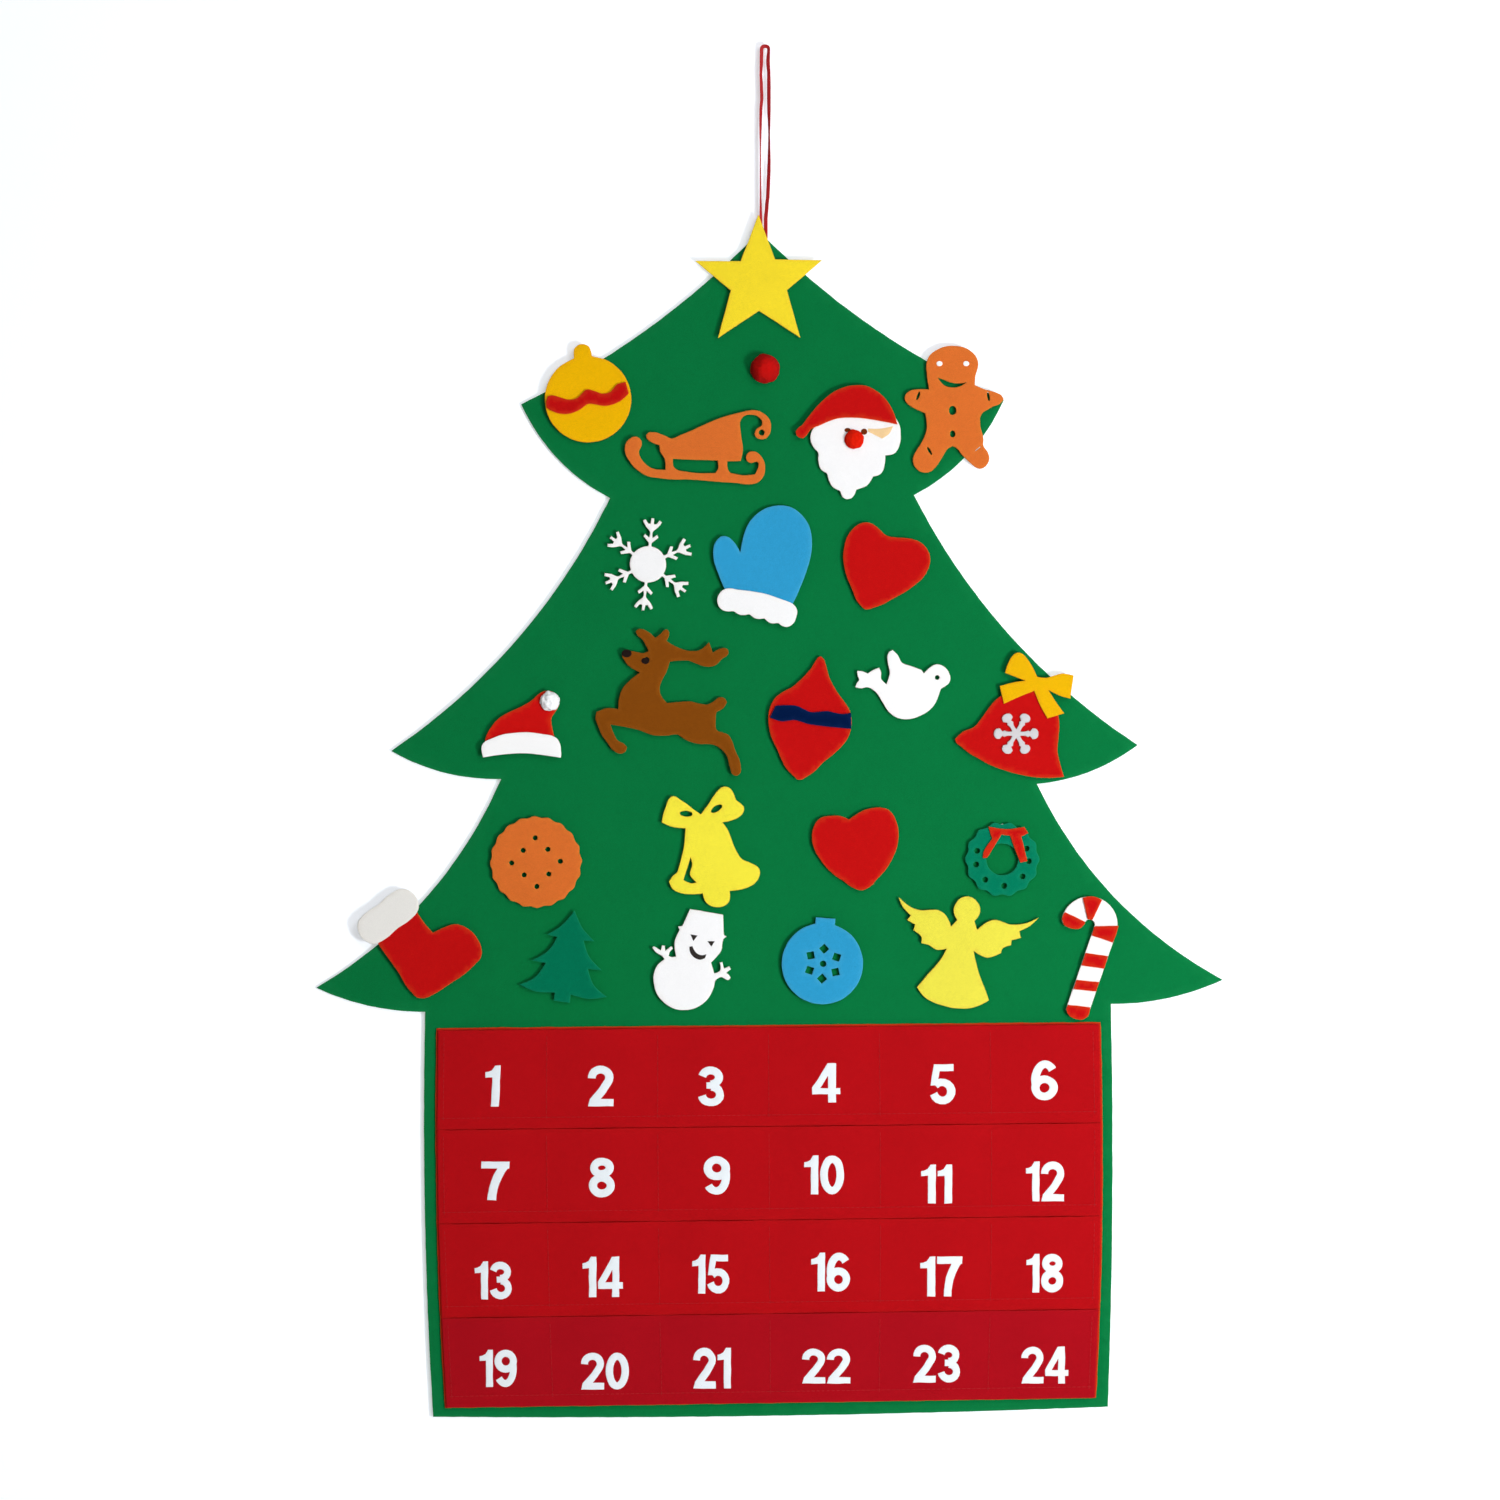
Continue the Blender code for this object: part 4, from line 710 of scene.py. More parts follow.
def cutShape(name, loops, front, thickness, material, bend=None, spacing=cutSet["innerStep"],
             dimple=cutSet["dimple"], insets=cutSet["insets"]):
    # a closed piece of felt with rounded edges: rings round each loop, then a front and a back
    seed = sum(ord(letter) for letter in name)
    for inset in insets:
        edgeLoops = [insetLoop(loop, inset, i == 0) for i, loop in enumerate(loops)]
        inner = fillPoints(edgeLoops, spacing, seed)
        triangles = triangulate(edgeLoops, inner)
        if triangles:
            break
    if not triangles:
        print("no triangles for", name)
        return None
    back = front + thickness
    deep = min(inset, thickness * cutSet["deepest"])
    profile = cutSet["edgeProfile"] if inset else cutSet["edgeProfile"][:1]
    rings = [(inset * out, front + deep * down, rim) for out, down, rim in profile]
    rings += [(inset * out, back - deep * down, rim) for out, down, rim in profile[::-1]]
    places, rims, ringStarts = [], [], []
    for distance, y, rim in rings:
        ringStarts.append(len(places))
        for i, loop in enumerate(loops):
            for point in insetLoop(loop, distance, i == 0):
                places.append((point.x, y, point.y))
                rims.append(rim)
    perRing = sum(len(loop) for loop in loops)
    innerStarts = []
    for side, y in enumerate((front, back)):
        innerStarts.append(len(places))
        for point in inner:
            lump = noise.noise(Vector((point.x, side * 3.1, point.y)) * cutSet["dimpleScale"])
            sink = dimple * (0.5 + lump)
            places.append((point.x, y + sink * (1 - 2 * side), point.y))
            rims.append(0)
    faces = []
    for here, there in zip(ringStarts, ringStarts[1:]):
        for a, b in loopEdges(loops)[1]:
            faces.append((here + a, here + b, there + b, there + a))
    for side, ring in ((0, ringStarts[0]), (1, ringStarts[-1])):
        for triangle in triangles:
            ids = [ring + i if i < perRing else innerStarts[side] + i - perRing for i in triangle]
            faces.append(ids if side == 0 else ids[::-1])
    if bend:
        places = [bend(*place) for place in places]
    return meshPiece(name, places, faces, material, rims)


# the 24 ornaments
ornamentSet = {
    "curl": 0.0008, "curlReach": 0.055, "curlMost": 0.0009,
    # a node whose back lies in front of trimBack is a trim, laid on another node
    "thickness": 0.002, "trimThickness": 0.0012, "trimBack": -0.003,
    "roundHoles": ("cookie", "wreath"), "stripeGrowth": 0.0006,
}
# the gingerbread's slit at its right ankle, in pixels and metres
footSlit = {"notch": (982.7, 450.2), "notchReach": 0.0038, "ankle": (983.1, 445.6),
            "centre": (977.8, 448.9), "length": 0.006, "width": 0.0007, "lean": 38, "steps": 12}
# corners that the photograph shows a little off the solids': each pixel place with its new one
movedCorners = {
    "star": ((741.3, 257.9, 740.6, 261.6), (776, 257.7, 775, 259.8)),
    "candy_stripe_3": ((1116.4, 928.3, 1117.6, 926.2), (1094.9, 925.3, 1095.2, 926.8)),
    "candy_stripe_5": ((1075.7, 981.2, 1076.2, 980.3), (1097.6, 984.4, 1098.4, 982.4),
                       (1072.7, 989.9, 1073.3, 988.2), (1094.6, 993, 1095.4, 990.4)),
    "candy_stripe_6": ((1087.8, 1013, 1089.6, 1007.6), (1067.2, 1005.9, 1067.6, 1005.2)),
}


def bendFor(body):
    # a cut shape is never quite flat: it curls along one line through the dot that holds it
    if body == "calendar":
        return lambda x, y, z: (x, y, z)
    chooser = random.Random(body)
    low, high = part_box(nodesOfBody[body][0])
    middle = (low + high) / 2
    angle = chooser.uniform(0, math.pi)
    curl = ornamentSet["curl"] * chooser.choice((-1, 1, -1)) * chooser.uniform(0.5, 1)
    across, up = math.cos(angle), math.sin(angle)

    def bend(x, y, z):
        share = ((x - middle.x) * across + (z - middle.z) * up) / ornamentSet["curlReach"]
        return x, y + min(curl * share * share, ornamentSet["curlMost"]), z

    return bend


bends = {body: bendFor(body) for body in nodesOfBody}


def closeAnkle(loops):
    # the solid's slit runs out at the leg's edge: here the edge is whole and the slit further in
    notch = onPlane(*footSlit["notch"])
    ankle = onPlane(*footSlit["ankle"])
    outer = []
    for point in loops[0]:
        if (point - notch).length > footSlit["notchReach"]:
            outer.append(point)
        elif ankle not in outer:
            outer.append(ankle)
    lean = math.radians(footSlit["lean"])
    along = Vector((math.cos(lean), math.sin(lean))) * footSlit["length"] / 2
    across = Vector((-math.sin(lean), math.cos(lean))) * footSlit["width"] / 2
    turns = [math.tau * step / footSlit["steps"] for step in range(footSlit["steps"])]
    centre = onPlane(*footSlit["centre"])
    slit = [centre + along * math.cos(turn) + across * math.sin(turn) for turn in turns]
    return [outer] + loops[1:] + [slit]


def moveCorners(loop, moves):
    return [
        next((onPlane(*move[2:]) for move in moves
              if (point - onPlane(*move[:2])).length < pixel["size"] / 4), point)
        for point in loop
    ]


def makeOrnaments():
    for index, (node, slot) in enumerate(slotOfNode.items()):
        body = bodyOfNode[node]
        if body == "calendar" or node in domeLook:
            continue
        loops, front = nodeOutline(node)
        if node == "gingerbread":
            loops = closeAnkle(loops)
        loops = [moveCorners(loop, movedCorners.get(node, ())) for loop in loops]
        if node.startswith("candy_stripe"):
            loops = [insetLoop(loop, -ornamentSet["stripeGrowth"], True) for loop in loops]
        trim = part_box(node)[1].y < ornamentSet["trimBack"]
        thickness = ornamentSet["trimThickness" if trim else "thickness"]
        cut = []
        for i, loop in enumerate(loops):
            cornersKept = not (i and node in ornamentSet["roundHoles"])
            cut.append(handCut(smoothLoop(loop, cornersKept), cutSet["wobble"], index))
        piece = cutShape(node + "_felt", cut, front, thickness, feltFor(node), bends[body])
        if piece:
            finishFelt(piece, body, slot, node)


# the tree's sheet
treeSet = {
    # corners in pixels, each with the bow of the edge that leaves it: above 0 it swells outwards
    "corners": (
        (759.5, 231.5, -0.048), (1004, 400, 0.085), (914, 495, -0.066), (1138, 745, 0.07),
        (1037, 784, -0.08), (1223, 980, 0.055), (1111, 1004, 0.0075), (1108, 1407, 0.006),
        (433, 1417, 0.0105), (425, 1012, 0.055), (316, 988, -0.08), (501, 779, 0.07),
        (391, 751, -0.066), (610, 498, 0.085), (521, 404, -0.0445),
    ),
    "tips": ((521, 404), (1004, 400), (391, 751), (1138, 745), (316, 988), (1223, 980)),
    "front": 0.0006, "thickness": 0.002, "bowSteps": 9, "edgeStep": 0.002, "wobble": 1.4,
    "spacing": 0.007, "dimple": 0.0002,
    "tipCurl": 0.0009, "tipReach": 0.075, "ripple": 0.0007, "rippleScale": 9,
    # the sheet is flat this near a dot, and ripples in full from here on
    "dotFlat": (0.018, 0.06), "fieldTop": -0.775, "fieldFlat": (0.266, 0.30),
}
dotCentres = {}


def bowed(start, end, bow, steps):
    # the points of one edge but the last, pushed off the straight line by a share of its length
    along = end - start
    side = Vector((-along.y, along.x))
    return [start + along * (i / steps) + side * bow * 4 * (i / steps) * (1 - i / steps)
            for i in range(steps)]


def treeLoop():
    corners = treeSet["corners"]
    points = []
    for i, (px, py, bow) in enumerate(corners):
        after = corners[(i + 1) % len(corners)]
        points += bowed(onPlane(px, py), onPlane(*after[:2]), bow, treeSet["bowSteps"])
    return points


def findDots():
    # each ornament's hook dot is the hindmost part of its CAD solid
    for body, nodes in nodesOfBody.items():
        if body == "calendar":
            continue
        places = [vertex.co for vertex in frame["nodes"][nodes[0]].data.vertices]
        back = max(place.y for place in places)
        rim = [place for place in places if place.y > back - 0.0001]
        dotCentres[body] = Vector((
            (min(p.x for p in rim) + max(p.x for p in rim)) / 2,
            (min(p.z for p in rim) + max(p.z for p in rim)) / 2,
        ))


def treeRelief(x, z):
    # the sheet hangs flat behind ornaments and pockets, and ripples and curls back elsewhere
    here = Vector((x, z))
    clear = ease(*treeSet["dotFlat"], min((here - dot).length for dot in dotCentres.values()))
    if z < treeSet["fieldTop"] and abs(x) < treeSet["fieldFlat"][1]:
        clear *= ease(*treeSet["fieldFlat"], abs(x))
    curl = sum(ease(treeSet["tipReach"], 0, (here - onPlane(*tip)).length)
               for tip in treeSet["tips"]) * treeSet["tipCurl"]
    wave = noise.noise(Vector((x, 0.7, z)) * treeSet["rippleScale"]) + 0.5
    return clear * (curl + max(0, wave) * treeSet["ripple"])


def makeTree():
    smooth = smoothLoop(treeLoop(), step=treeSet["edgeStep"])
    loop = handCut(smooth, cutSet["wobble"] * treeSet["wobble"], 3)
    tree = cutShape(
        "tree_felt", [loop], treeSet["front"], treeSet["thickness"], feltMaterials["green_felt"],
        lambda x, y, z: (x, y + treeRelief(x, z), z), spacing=treeSet["spacing"],
        dimple=treeSet["dimple"])
    finishFelt(tree, "calendar", "green_felt", "tree_panel")
    round(abs(polygonArea(loop)), 4)


# the pocket field: its corners in pixels, its other sizes in metres or in shares of the field
fieldSet = {
    "topLeft": (436.5, 1028), "topRight": (1100.5, 1022), "footRight": (1096, 1398),
    "footLeft": (445, 1408), "sideBow": 0.0033, "sideSteps": 6, "sideShare": 0.003, "pockets": 6,
    # where each row of pockets starts and ends
    "rowShares": ((0.006, 0.2668), (0.2681, 0.5142), (0.5155, 0.7617), (0.763, 0.998)),
    "backingFront": -0.0009, "rowFront": -0.0024, "thickness": 0.0012,
    "backingStep": 0.002, "backingWobble": 2, "backingSpacing": 0.007,
    "backingFlat": (0.531, 0.302), "rowFlat": 0.528, "rowMean": 0.523,
    "rowStep": 0.0016, "rowWobble": 1.5, "rowSpacing": 0.0045, "rowInsets": (0.0002, 0.0001, 0.0),
    # how far a pocket stands out, and the lumps in its front
    "belly": (0.001, 0.0019), "slackPower": 1.25, "crownPower": 1.6, "hollow": 0.12,
    "lump": 0.0005, "lumpScale": 21, "lumpRow": 3.3, "seed": 24,
}


def fieldPoint(s, t):
    left = onPlane(*fieldSet["topLeft"]).lerp(onPlane(*fieldSet["footLeft"]), t)
    right = onPlane(*fieldSet["topRight"]).lerp(onPlane(*fieldSet["footRight"]), t)
    bow = Vector((4 * t * (1 - t) * fieldSet["sideBow"], 0))
    return (left - bow).lerp(right + bow, s)


def fieldShares(x, z):
    # the other way round, close enough on a field that is nearly square-cornered
    s = (x - fieldPoint(0, 0).x) / (fieldPoint(1, 0).x - fieldPoint(0, 0).x)
    for _ in range(2):
        top, foot = fieldPoint(s, 0).y, fieldPoint(s, 1).y
        t = (top - z) / (top - foot)
        left, right = fieldPoint(0, t).x, fieldPoint(1, t).x
        s = (x - left) / (right - left)
    return s, t


pocketChooser = random.Random(fieldSet["seed"])
bellies = [[pocketChooser.uniform(*fieldSet["belly"]) for _ in range(fieldSet["pockets"])]
           for _ in fieldSet["rowShares"]]


def pocketRelief(x, z, row):
    # how far the slack of a pocket stands out: most at its mouth, none at its seams
    s, t = fieldShares(x, z)
    top, foot = fieldSet["rowShares"][row]
    down = clip((t - top) / (foot - top))
    across = s * fieldSet["pockets"]
    pocket = clip(int(across), 0, fieldSet["pockets"] - 1)
    swell = math.sin(math.pi * clip(across - pocket))
    sag = math.sin(math.pi * down)
    slack = (1 - down) ** fieldSet["slackPower"] * (1 - fieldSet["hollow"] * sag)
    scale = fieldSet["lumpScale"]
    lump = noise.noise(Vector((x * scale, row * fieldSet["lumpRow"], z * scale)))
    lump *= fieldSet["lump"] * swell
    return bellies[row][pocket] * swell ** fieldSet["crownPower"] * slack + lump * sag


def makePockets():
    steps = fieldSet["sideSteps"]
    sides = [i / steps for i in range(steps + 1)]
    backing = [fieldPoint(1, t) for t in sides] + [fieldPoint(0, t) for t in sides[::-1]]
    loop = handCut(smoothLoop(backing, step=fieldSet["backingStep"]),
                   cutSet["wobble"] * fieldSet["backingWobble"], 5)
    sheet = cutShape("backing_felt", [loop], fieldSet["backingFront"], fieldSet["thickness"],
                     feltMaterials["pocket_backing"], spacing=fieldSet["backingSpacing"])
    finishFelt(sheet, "calendar", "red_felt", "pocket_backing")
    strips = []
    side = fieldSet["sideShare"]
    for row, (top, foot) in enumerate(fieldSet["rowShares"]):
        corners = [fieldPoint(*corner)
                   for corner in ((side, top), (1 - side, top), (1 - side, foot), (side, foot))]
        loop = handCut(smoothLoop(corners, step=fieldSet["rowStep"]),
                       cutSet["wobble"] * fieldSet["rowWobble"], row + 7)
        name = "pocket_row_" + str(row + 1)
        strip = cutShape(
            name + "_felt", [loop], fieldSet["rowFront"], fieldSet["thickness"],
            feltMaterials.get(name) or feltMaterials["pocket_red"],
            lambda x, y, z, row=row: (x, y - pocketRelief(x, z, row), z),
            spacing=fieldSet["rowSpacing"], insets=fieldSet["rowInsets"])
        finishFelt(strip, "calendar", "red_felt", name)
        strips.append((strip, round(abs(polygonArea(loop)) / fieldSet["rowMean"], 4)))
    return strips


# the numbers: each one's box in pixels as left, top, right and foot, and their leans in degrees
numberBoxes = {
    1: (485, 1065, 500, 1106), 2: (588, 1065, 613.5, 1106), 3: (698, 1066, 724, 1106),
    4: (812, 1063, 839, 1102), 5: (929.5, 1064, 955, 1104), 6: (1031, 1060, 1057.5, 1100),
    7: (481, 1161, 509, 1200), 8: (589, 1157, 615, 1197), 9: (703.5, 1156, 730, 1194.5),
    10: (804, 1155, 844, 1194), 11: (921, 1164, 952, 1203), 12: (1025.5, 1161, 1064, 1201),
    13: (475, 1261, 512, 1299), 14: (582.5, 1256, 622, 1296.5), 15: (692, 1254, 729.5, 1293),
    16: (811, 1252, 850, 1291), 17: (920, 1256, 962, 1296), 18: (1026, 1253, 1063, 1292),
    19: (480, 1349, 517, 1386.5), 20: (581, 1352, 629, 1389), 21: (693, 1347, 731, 1388),
    22: (802, 1348, 850, 1383), 23: (913, 1344, 960, 1382), 24: (1021, 1346, 1067, 1383),
}
numberLeans = {1: 3, 7: 2}
figureSet = {
    "stroke": 0.195, "width": 0.62, "narrow": 0.37, "gap": 0.045, "step": 0.0026,
    "thickness": 0.0004, "sink": 0.00015, "wobble": 0.0004, "dimple": 0.00003,
    "insets": (0.00025, 0.00012, 0.00006, 0.0), "arcSteps": 14, "ringSteps": 28,
    "colours": ((234, 241, 246), (236, 240, 246)), "tone": 0.3,
}
# a heavy plain face, one unit tall. A bar is drawn by its loops and a line by its points; an arc
# and a ring have their centre and outer reach, and an arc its angles and the points it runs on to
figureParts = {
    0: (("ring", (0.31, 0.5), (0.31, 0.5)),),
    1: (("bar", ((0.175, 0), (0.37, 0), (0.37, 1), (0.235, 1), (0.16, 0.885), (0.08, 0.845),
                 (0, 0.83), (0, 0.695), (0.175, 0.71))),),
    2: (("arc", (0.31, 0.7), (0.31, 0.3), 184, -32, (0.36, 0.39), (0.12, 0.1)),
        ("bar", ((0.0, 0), (0.62, 0), (0.62, 0.18), (0.05, 0.18)))),
    3: (("arc", (0.3, 0.725), (0.3, 0.275), 170, -88),
        ("arc", (0.31, 0.295), (0.31, 0.295), 88, -172),
        ("bar", ((0.2, 0.44), (0.36, 0.44), (0.36, 0.6), (0.2, 0.6)))),
    4: (("bar", ((0.365, 0), (0.55, 0), (0.55, 0.205), (0.65, 0.205), (0.65, 0.365),
                 (0.55, 0.365), (0.55, 1), (0.36, 1), (0, 0.375), (0, 0.205), (0.365, 0.205)),
         ((0.185, 0.365), (0.365, 0.365), (0.365, 0.68))),),
    5: (("bar", ((0.1, 0.83), (0.575, 0.83), (0.575, 1), (0.1, 1))),
        ("bar", ((0.02, 0.47), (0.19, 0.47), (0.27, 1), (0.1, 1))),
        ("arc", (0.305, 0.325), (0.315, 0.325), 140, -165)),
    6: (("ring", (0.31, 0.31), (0.31, 0.31)),
        ("arc", (0.325, 0.52), (0.325, 0.48), 205, 40)),
    7: (("bar", ((0, 0.82), (0.62, 0.82), (0.62, 1), (0, 1))),
        ("line", (0.525, 0.9), (0.44, 0.77), (0.37, 0.62), (0.32, 0.46), (0.285, 0.3),
         (0.265, 0.15), (0.26, 0))),
    8: (("ring", (0.31, 0.745), (0.285, 0.255)), ("ring", (0.31, 0.295), (0.31, 0.295))),
}


def arcPoints(centre, reach, start, end, steps=figureSet["arcSteps"]):
    angles = [math.radians(start + (end - start) * i / steps) for i in range(steps + 1)]
    return [Vector((centre[0] + reach[0] * math.cos(a), centre[1] + reach[1] * math.sin(a)))
            for a in angles]


def strokeLoops(line, closed=False):
    # the outline of a pen stroke along a line: one loop, or two round a closed ring
    half = figureSet["stroke"] / 2
    left, right = [], []
    count = len(line)
    for i, point in enumerate(line):
        before = line[i - 1] if closed or i else point
        after = line[(i + 1) % count] if closed or i < count - 1 else point
        along = (after - before).normalized()
        side = Vector((-along.y, along.x)) * half
        left.append(point + side)
        right.append(point - side)
    return [left, right] if closed else [left + right[::-1]]


def figureShapes(figure):
    # the shapes of one figure, each a list of loops; a nine is a six turned over
    if figure == 9:
        return [[[Vector((figureSet["width"] - p.x, 1 - p.y)) for p in loop] for loop in shape]
                for shape in figureShapes(6)]
    half = figureSet["stroke"] / 2
    shapes = []
    for kind, *rest in figureParts[figure]:
        if kind == "bar":
            shapes.append([[Vector(point) for point in loop] for loop in rest])
        elif kind == "line":
            shapes.append(strokeLoops([Vector(point) for point in rest]))
        elif kind == "ring":
            centre, (wide, tall) = rest
            line = arcPoints(centre, (wide - half, tall - half), 0, 360, figureSet["ringSteps"])
            shapes.append(strokeLoops(line[:-1], closed=True))
        else:
            centre, (wide, tall), start, end, *more = rest
            line = arcPoints(centre, (wide - half, tall - half), start, end)
            shapes.append(strokeLoops(line + [Vector(point) for point in more]))
    return shapes


def numberShapes(number):
    # a number's figures side by side, and how far they reach across
    shapes = []
    across = 0
    for digit in str(number):
        for shape in figureShapes(int(digit)):
            shapes.append([[point + Vector((across, 0)) for point in loop] for loop in shape])
        across += figureSet["narrow" if digit == "1" else "width"]
        across += figureSet["gap"]
    return shapes, across - figureSet["gap"]


def unionLoops(shapes):
    # one outline round overlapping shapes: triangulate every edge, keep what any shape covers
    points, edges = loopEdges([loop for shape in shapes for loop in shape])
    made, _, faces, _, _, _ = delaunay_2d_cdt(points, edges, [], 0, 1e-6)
    centres = [(sum((made[i] for i in face), Vector((0, 0))) / 3)[:] for face in faces]
    covered = np.zeros(len(faces), bool)
    for shape in shapes:
        covered |= insideLoops(centres, shape)
    kept = []
    for face, keep in zip(faces, covered):
        if not keep:
            continue
        a, b, c = (made[i] for i in face)
        kept.append(face if (b - a).cross(c - a) > 0 else face[::-1])
    sides = {(face[i - 1], face[i]) for face in kept for i in range(3)}
    return traceLoops({a: b for a, b in sides if (b, a) not in sides}, made)


def splitLong(loop, step):
    # drops points that nearly coincide, and divides long straight edges
    near = step * 0.08
    clean = []
    for point in loop:
        if not clean or (point - clean[-1]).length > near:
            clean.append(point)
    if (clean[0] - clean[-1]).length <= near:
        clean.pop()
    dense = []
    for i, point in enumerate(clean):
        after = clean[(i + 1) % len(clean)]
        pieces = max(1, math.ceil((after - point).length / step))
        dense += [point.lerp(after, k / pieces) for k in range(pieces)]
    return dense


def loopGroups(loops):
    # pairs each outer outline with the holes that lie in it
    groups = [[loop] for loop in loops if polygonArea(loop) > 0]
    for hole in loops:
        if polygonArea(hole) > 0:
            continue
        for group in groups:
            if insideLoops([hole[0][:]], [group[0]])[0]:
                group.append(hole)
    return groups


def makeNumbers(strips):
    ink = makeFeltMaterial("number_print", *figureSet["colours"], figureSet["tone"])
    front = fieldSet["rowFront"] + figureSet["sink"] - figureSet["thickness"]
    numbersOfRow = [[] for _ in strips]
    for number, (left, top, right, foot) in numberBoxes.items():
        shapes, across = numberShapes(number)
        row = (number - 1) // fieldSet["pockets"]
        wide, tall = right - left, foot - top
        slant = math.tan(math.radians(numberLeans.get(number, 0)))
        for index, group in enumerate(loopGroups(unionLoops(shapes))):
            loops = []
            for loop in group:
                placed = [onPlane(left + p.x / across * wide + (p.y - 0.5) * tall * slant,
                                  foot - p.y * tall) for p in loop]
                loops.append(handCut(splitLong(placed, figureSet["step"]), figureSet["wobble"],
                                     number))
            name = "number_" + str(number) + ("_units" if index else "")
            piece = cutShape(
                name, loops, front, figureSet["thickness"], ink,
                lambda x, y, z, row=row: (x, y - pocketRelief(x, z, row), z),
                insets=figureSet["insets"], dimple=figureSet["dimple"])
            finishPiece(piece, "calendar", "white_felt")
            numbersOfRow[row].append(piece)


# the felted balls: how rough each is, and how fine that roughness
domeLook = {
    "red_ball": {"rough": 0.0006, "scale": 230}, "santa_nose": {"rough": 0.0006, "scale": 260},
    "hat_pompom": {"rough": 0.0009, "scale": 170},
}
domeSet = {"subdivisions": 5, "lumpScale": 2.2, "lumpPlace": (3, 1, 4), "fluffScale": 0.08,
           "fluff": 0.5, "flatBack": 0.02, "sideRoom": 0.3, "frontRoom": 0.6, "rim": 0.12}


def makeDomes():
    for node, look in domeLook.items():
        low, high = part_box(node)
        centre, half = (low + high) / 2, (high - low) / 2
        rough = look["rough"]
        room = rough * domeSet["sideRoom"]
        shape = bmesh.new()
        bmesh.ops.create_icosphere(shape, subdivisions=domeSet["subdivisions"], radius=1)
        shape.verts.index_update()
        places = []
        for vertex in shape.verts:
            way = vertex.co
            spot = way * domeSet["lumpScale"] + Vector(domeSet["lumpPlace"])
            lump = noise.fractal(spot, 1.0, 2.0, 3) * rough
            fluff = noise.noise(way * look["scale"] * domeSet["fluffScale"])
            lump += fluff * rough * domeSet["fluff"]
            depth = (high.y - low.y) * (1 if way.y < 0 else domeSet["flatBack"])
            places.append((
                centre.x + way.x * (half.x + lump - room),
                high.y + way.y * (depth - rough * domeSet["frontRoom"] + lump * (way.y < 0)),
                centre.z + way.z * (half.z + lump - room)))
        faces = [tuple(vertex.index for vertex in face.verts) for face in shape.faces]
        shape.free()
        # the rim share drives the loose fibres and also mixes a little of the painted edge
        # highlight over the whole ball
        rims = [domeSet["rim"]] * len(places)
        ball = meshPiece(node + "_felt", places, faces, feltFor(node), rims)
        finishFelt(ball, bodyOfNode[node], slotOfNode[node], node)


# helpers for Geometry Nodes

def startTree(name, inputs):
    tree = bpy.data.node_groups.new(name, "GeometryNodeTree")
    newSocket(tree, "Geometry", "INPUT", "Geometry")
    for key, (kind, value) in inputs.items():
        newSocket(tree, key, "INPUT", kind, value)
    newSocket(tree, "Geometry", "OUTPUT", "Geometry")
    return tree, tree.nodes.new("NodeGroupInput").outputs


def endTree(tree, geometry, material):
    real = addNode(tree, "GeometryNodeRealizeInstances", {"Geometry": geometry})
    paint = addNode(tree, "GeometryNodeSetMaterial", {
        "Geometry": real.outputs["Geometry"], "Material": material})
    addNode(tree, "NodeGroupOutput", {"Geometry": paint.outputs["Geometry"]})
    return tree


def bentFibre(tree, spots, width, steps, sides):
    # one strand of thread, hook or fibre, bent between three spots that are given by X and Z
    bow = addNode(tree, "GeometryNodeCurveQuadraticBezier", {"Resolution": steps})
    for socket, (across, up) in zip(("Start", "Middle", "End"), spots):
        spot = addNode(tree, "ShaderNodeCombineXYZ", {"X": across, "Z": up})
        tree.links.new(spot.outputs[0], bow.inputs[socket])
    section = addNode(tree, "GeometryNodeCurvePrimitiveCircle", {
        "Resolution": sides, "Radius": mathNode(tree, "MULTIPLY", width, 0.5)})
    strand = addNode(tree, "GeometryNodeCurveToMesh", {
        "Curve": bow.outputs["Curve"], "Profile Curve": section.outputs["Curve"],
        "Fill Caps": True})
    return strand.outputs["Mesh"]


def archSpots(tree, length, rise):
    # a strand that lies along X and arches towards Z
    return ((mathNode(tree, "MULTIPLY", length, -0.5), 0), (0, mathNode(tree, "MULTIPLY", rise, 2)),
            (mathNode(tree, "MULTIPLY", length, 0.5), 0))


def onPoints(tree, points, strand, rotation, scale=1.0):
    inputs = {"Points": points, "Instance": strand, "Rotation": rotation}
    if scale != 1.0:
        inputs["Scale"] = scale
    return addNode(tree, "GeometryNodeInstanceOnPoints", inputs).outputs["Instances"]


def applyNodes(name, source, tree, values, material):
    # runs a node tree on a piece and keeps the result as plain mesh
    modifier = source.modifiers.new(tree.name, "NODES")
    modifier.node_group = tree
    for item in tree.interface.items_tree:
        if item.item_type == "SOCKET" and item.in_out == "INPUT" and item.name in values:
            modifier[item.identifier] = values[item.name]
    seen = source.evaluated_get(bpy.context.evaluated_depsgraph_get())
    mesh = bpy.data.meshes.new_from_object(seen)
    source.modifiers.remove(modifier)
    mesh.name = name
    mesh.materials.clear()
    mesh.materials.append(material)
    return addThing(name, mesh)


# the hook dots behind the ornaments
dotSet = {
    "radius": 0.007, "front": -0.0013, "back": 0.0003, "steps": 40, "spacing": 0.0022,
    "insets": (0.00015, 0.0), "hookHeight": 0.0006, "hookWidth": 0.00016,
    "hooksPerSquareMetre": 620000, "seed": 12,
    "tapeColours": ((226, 227, 230), (248, 248, 250)), "grain": 900, "roughness": 0.42,
}


def tapeMaterial():
    material, tree, shader = newMaterial("hook_tape")
    grain = noiseNode(tree, objectPlace(tree), dotSet["grain"])
    first, second = dotSet["tapeColours"]
    feed(tree, shader, {"Base Color": mixColour(tree, grain, srgb(*first), srgb(*second)),
                        "Roughness": dotSet["roughness"]})
    return material


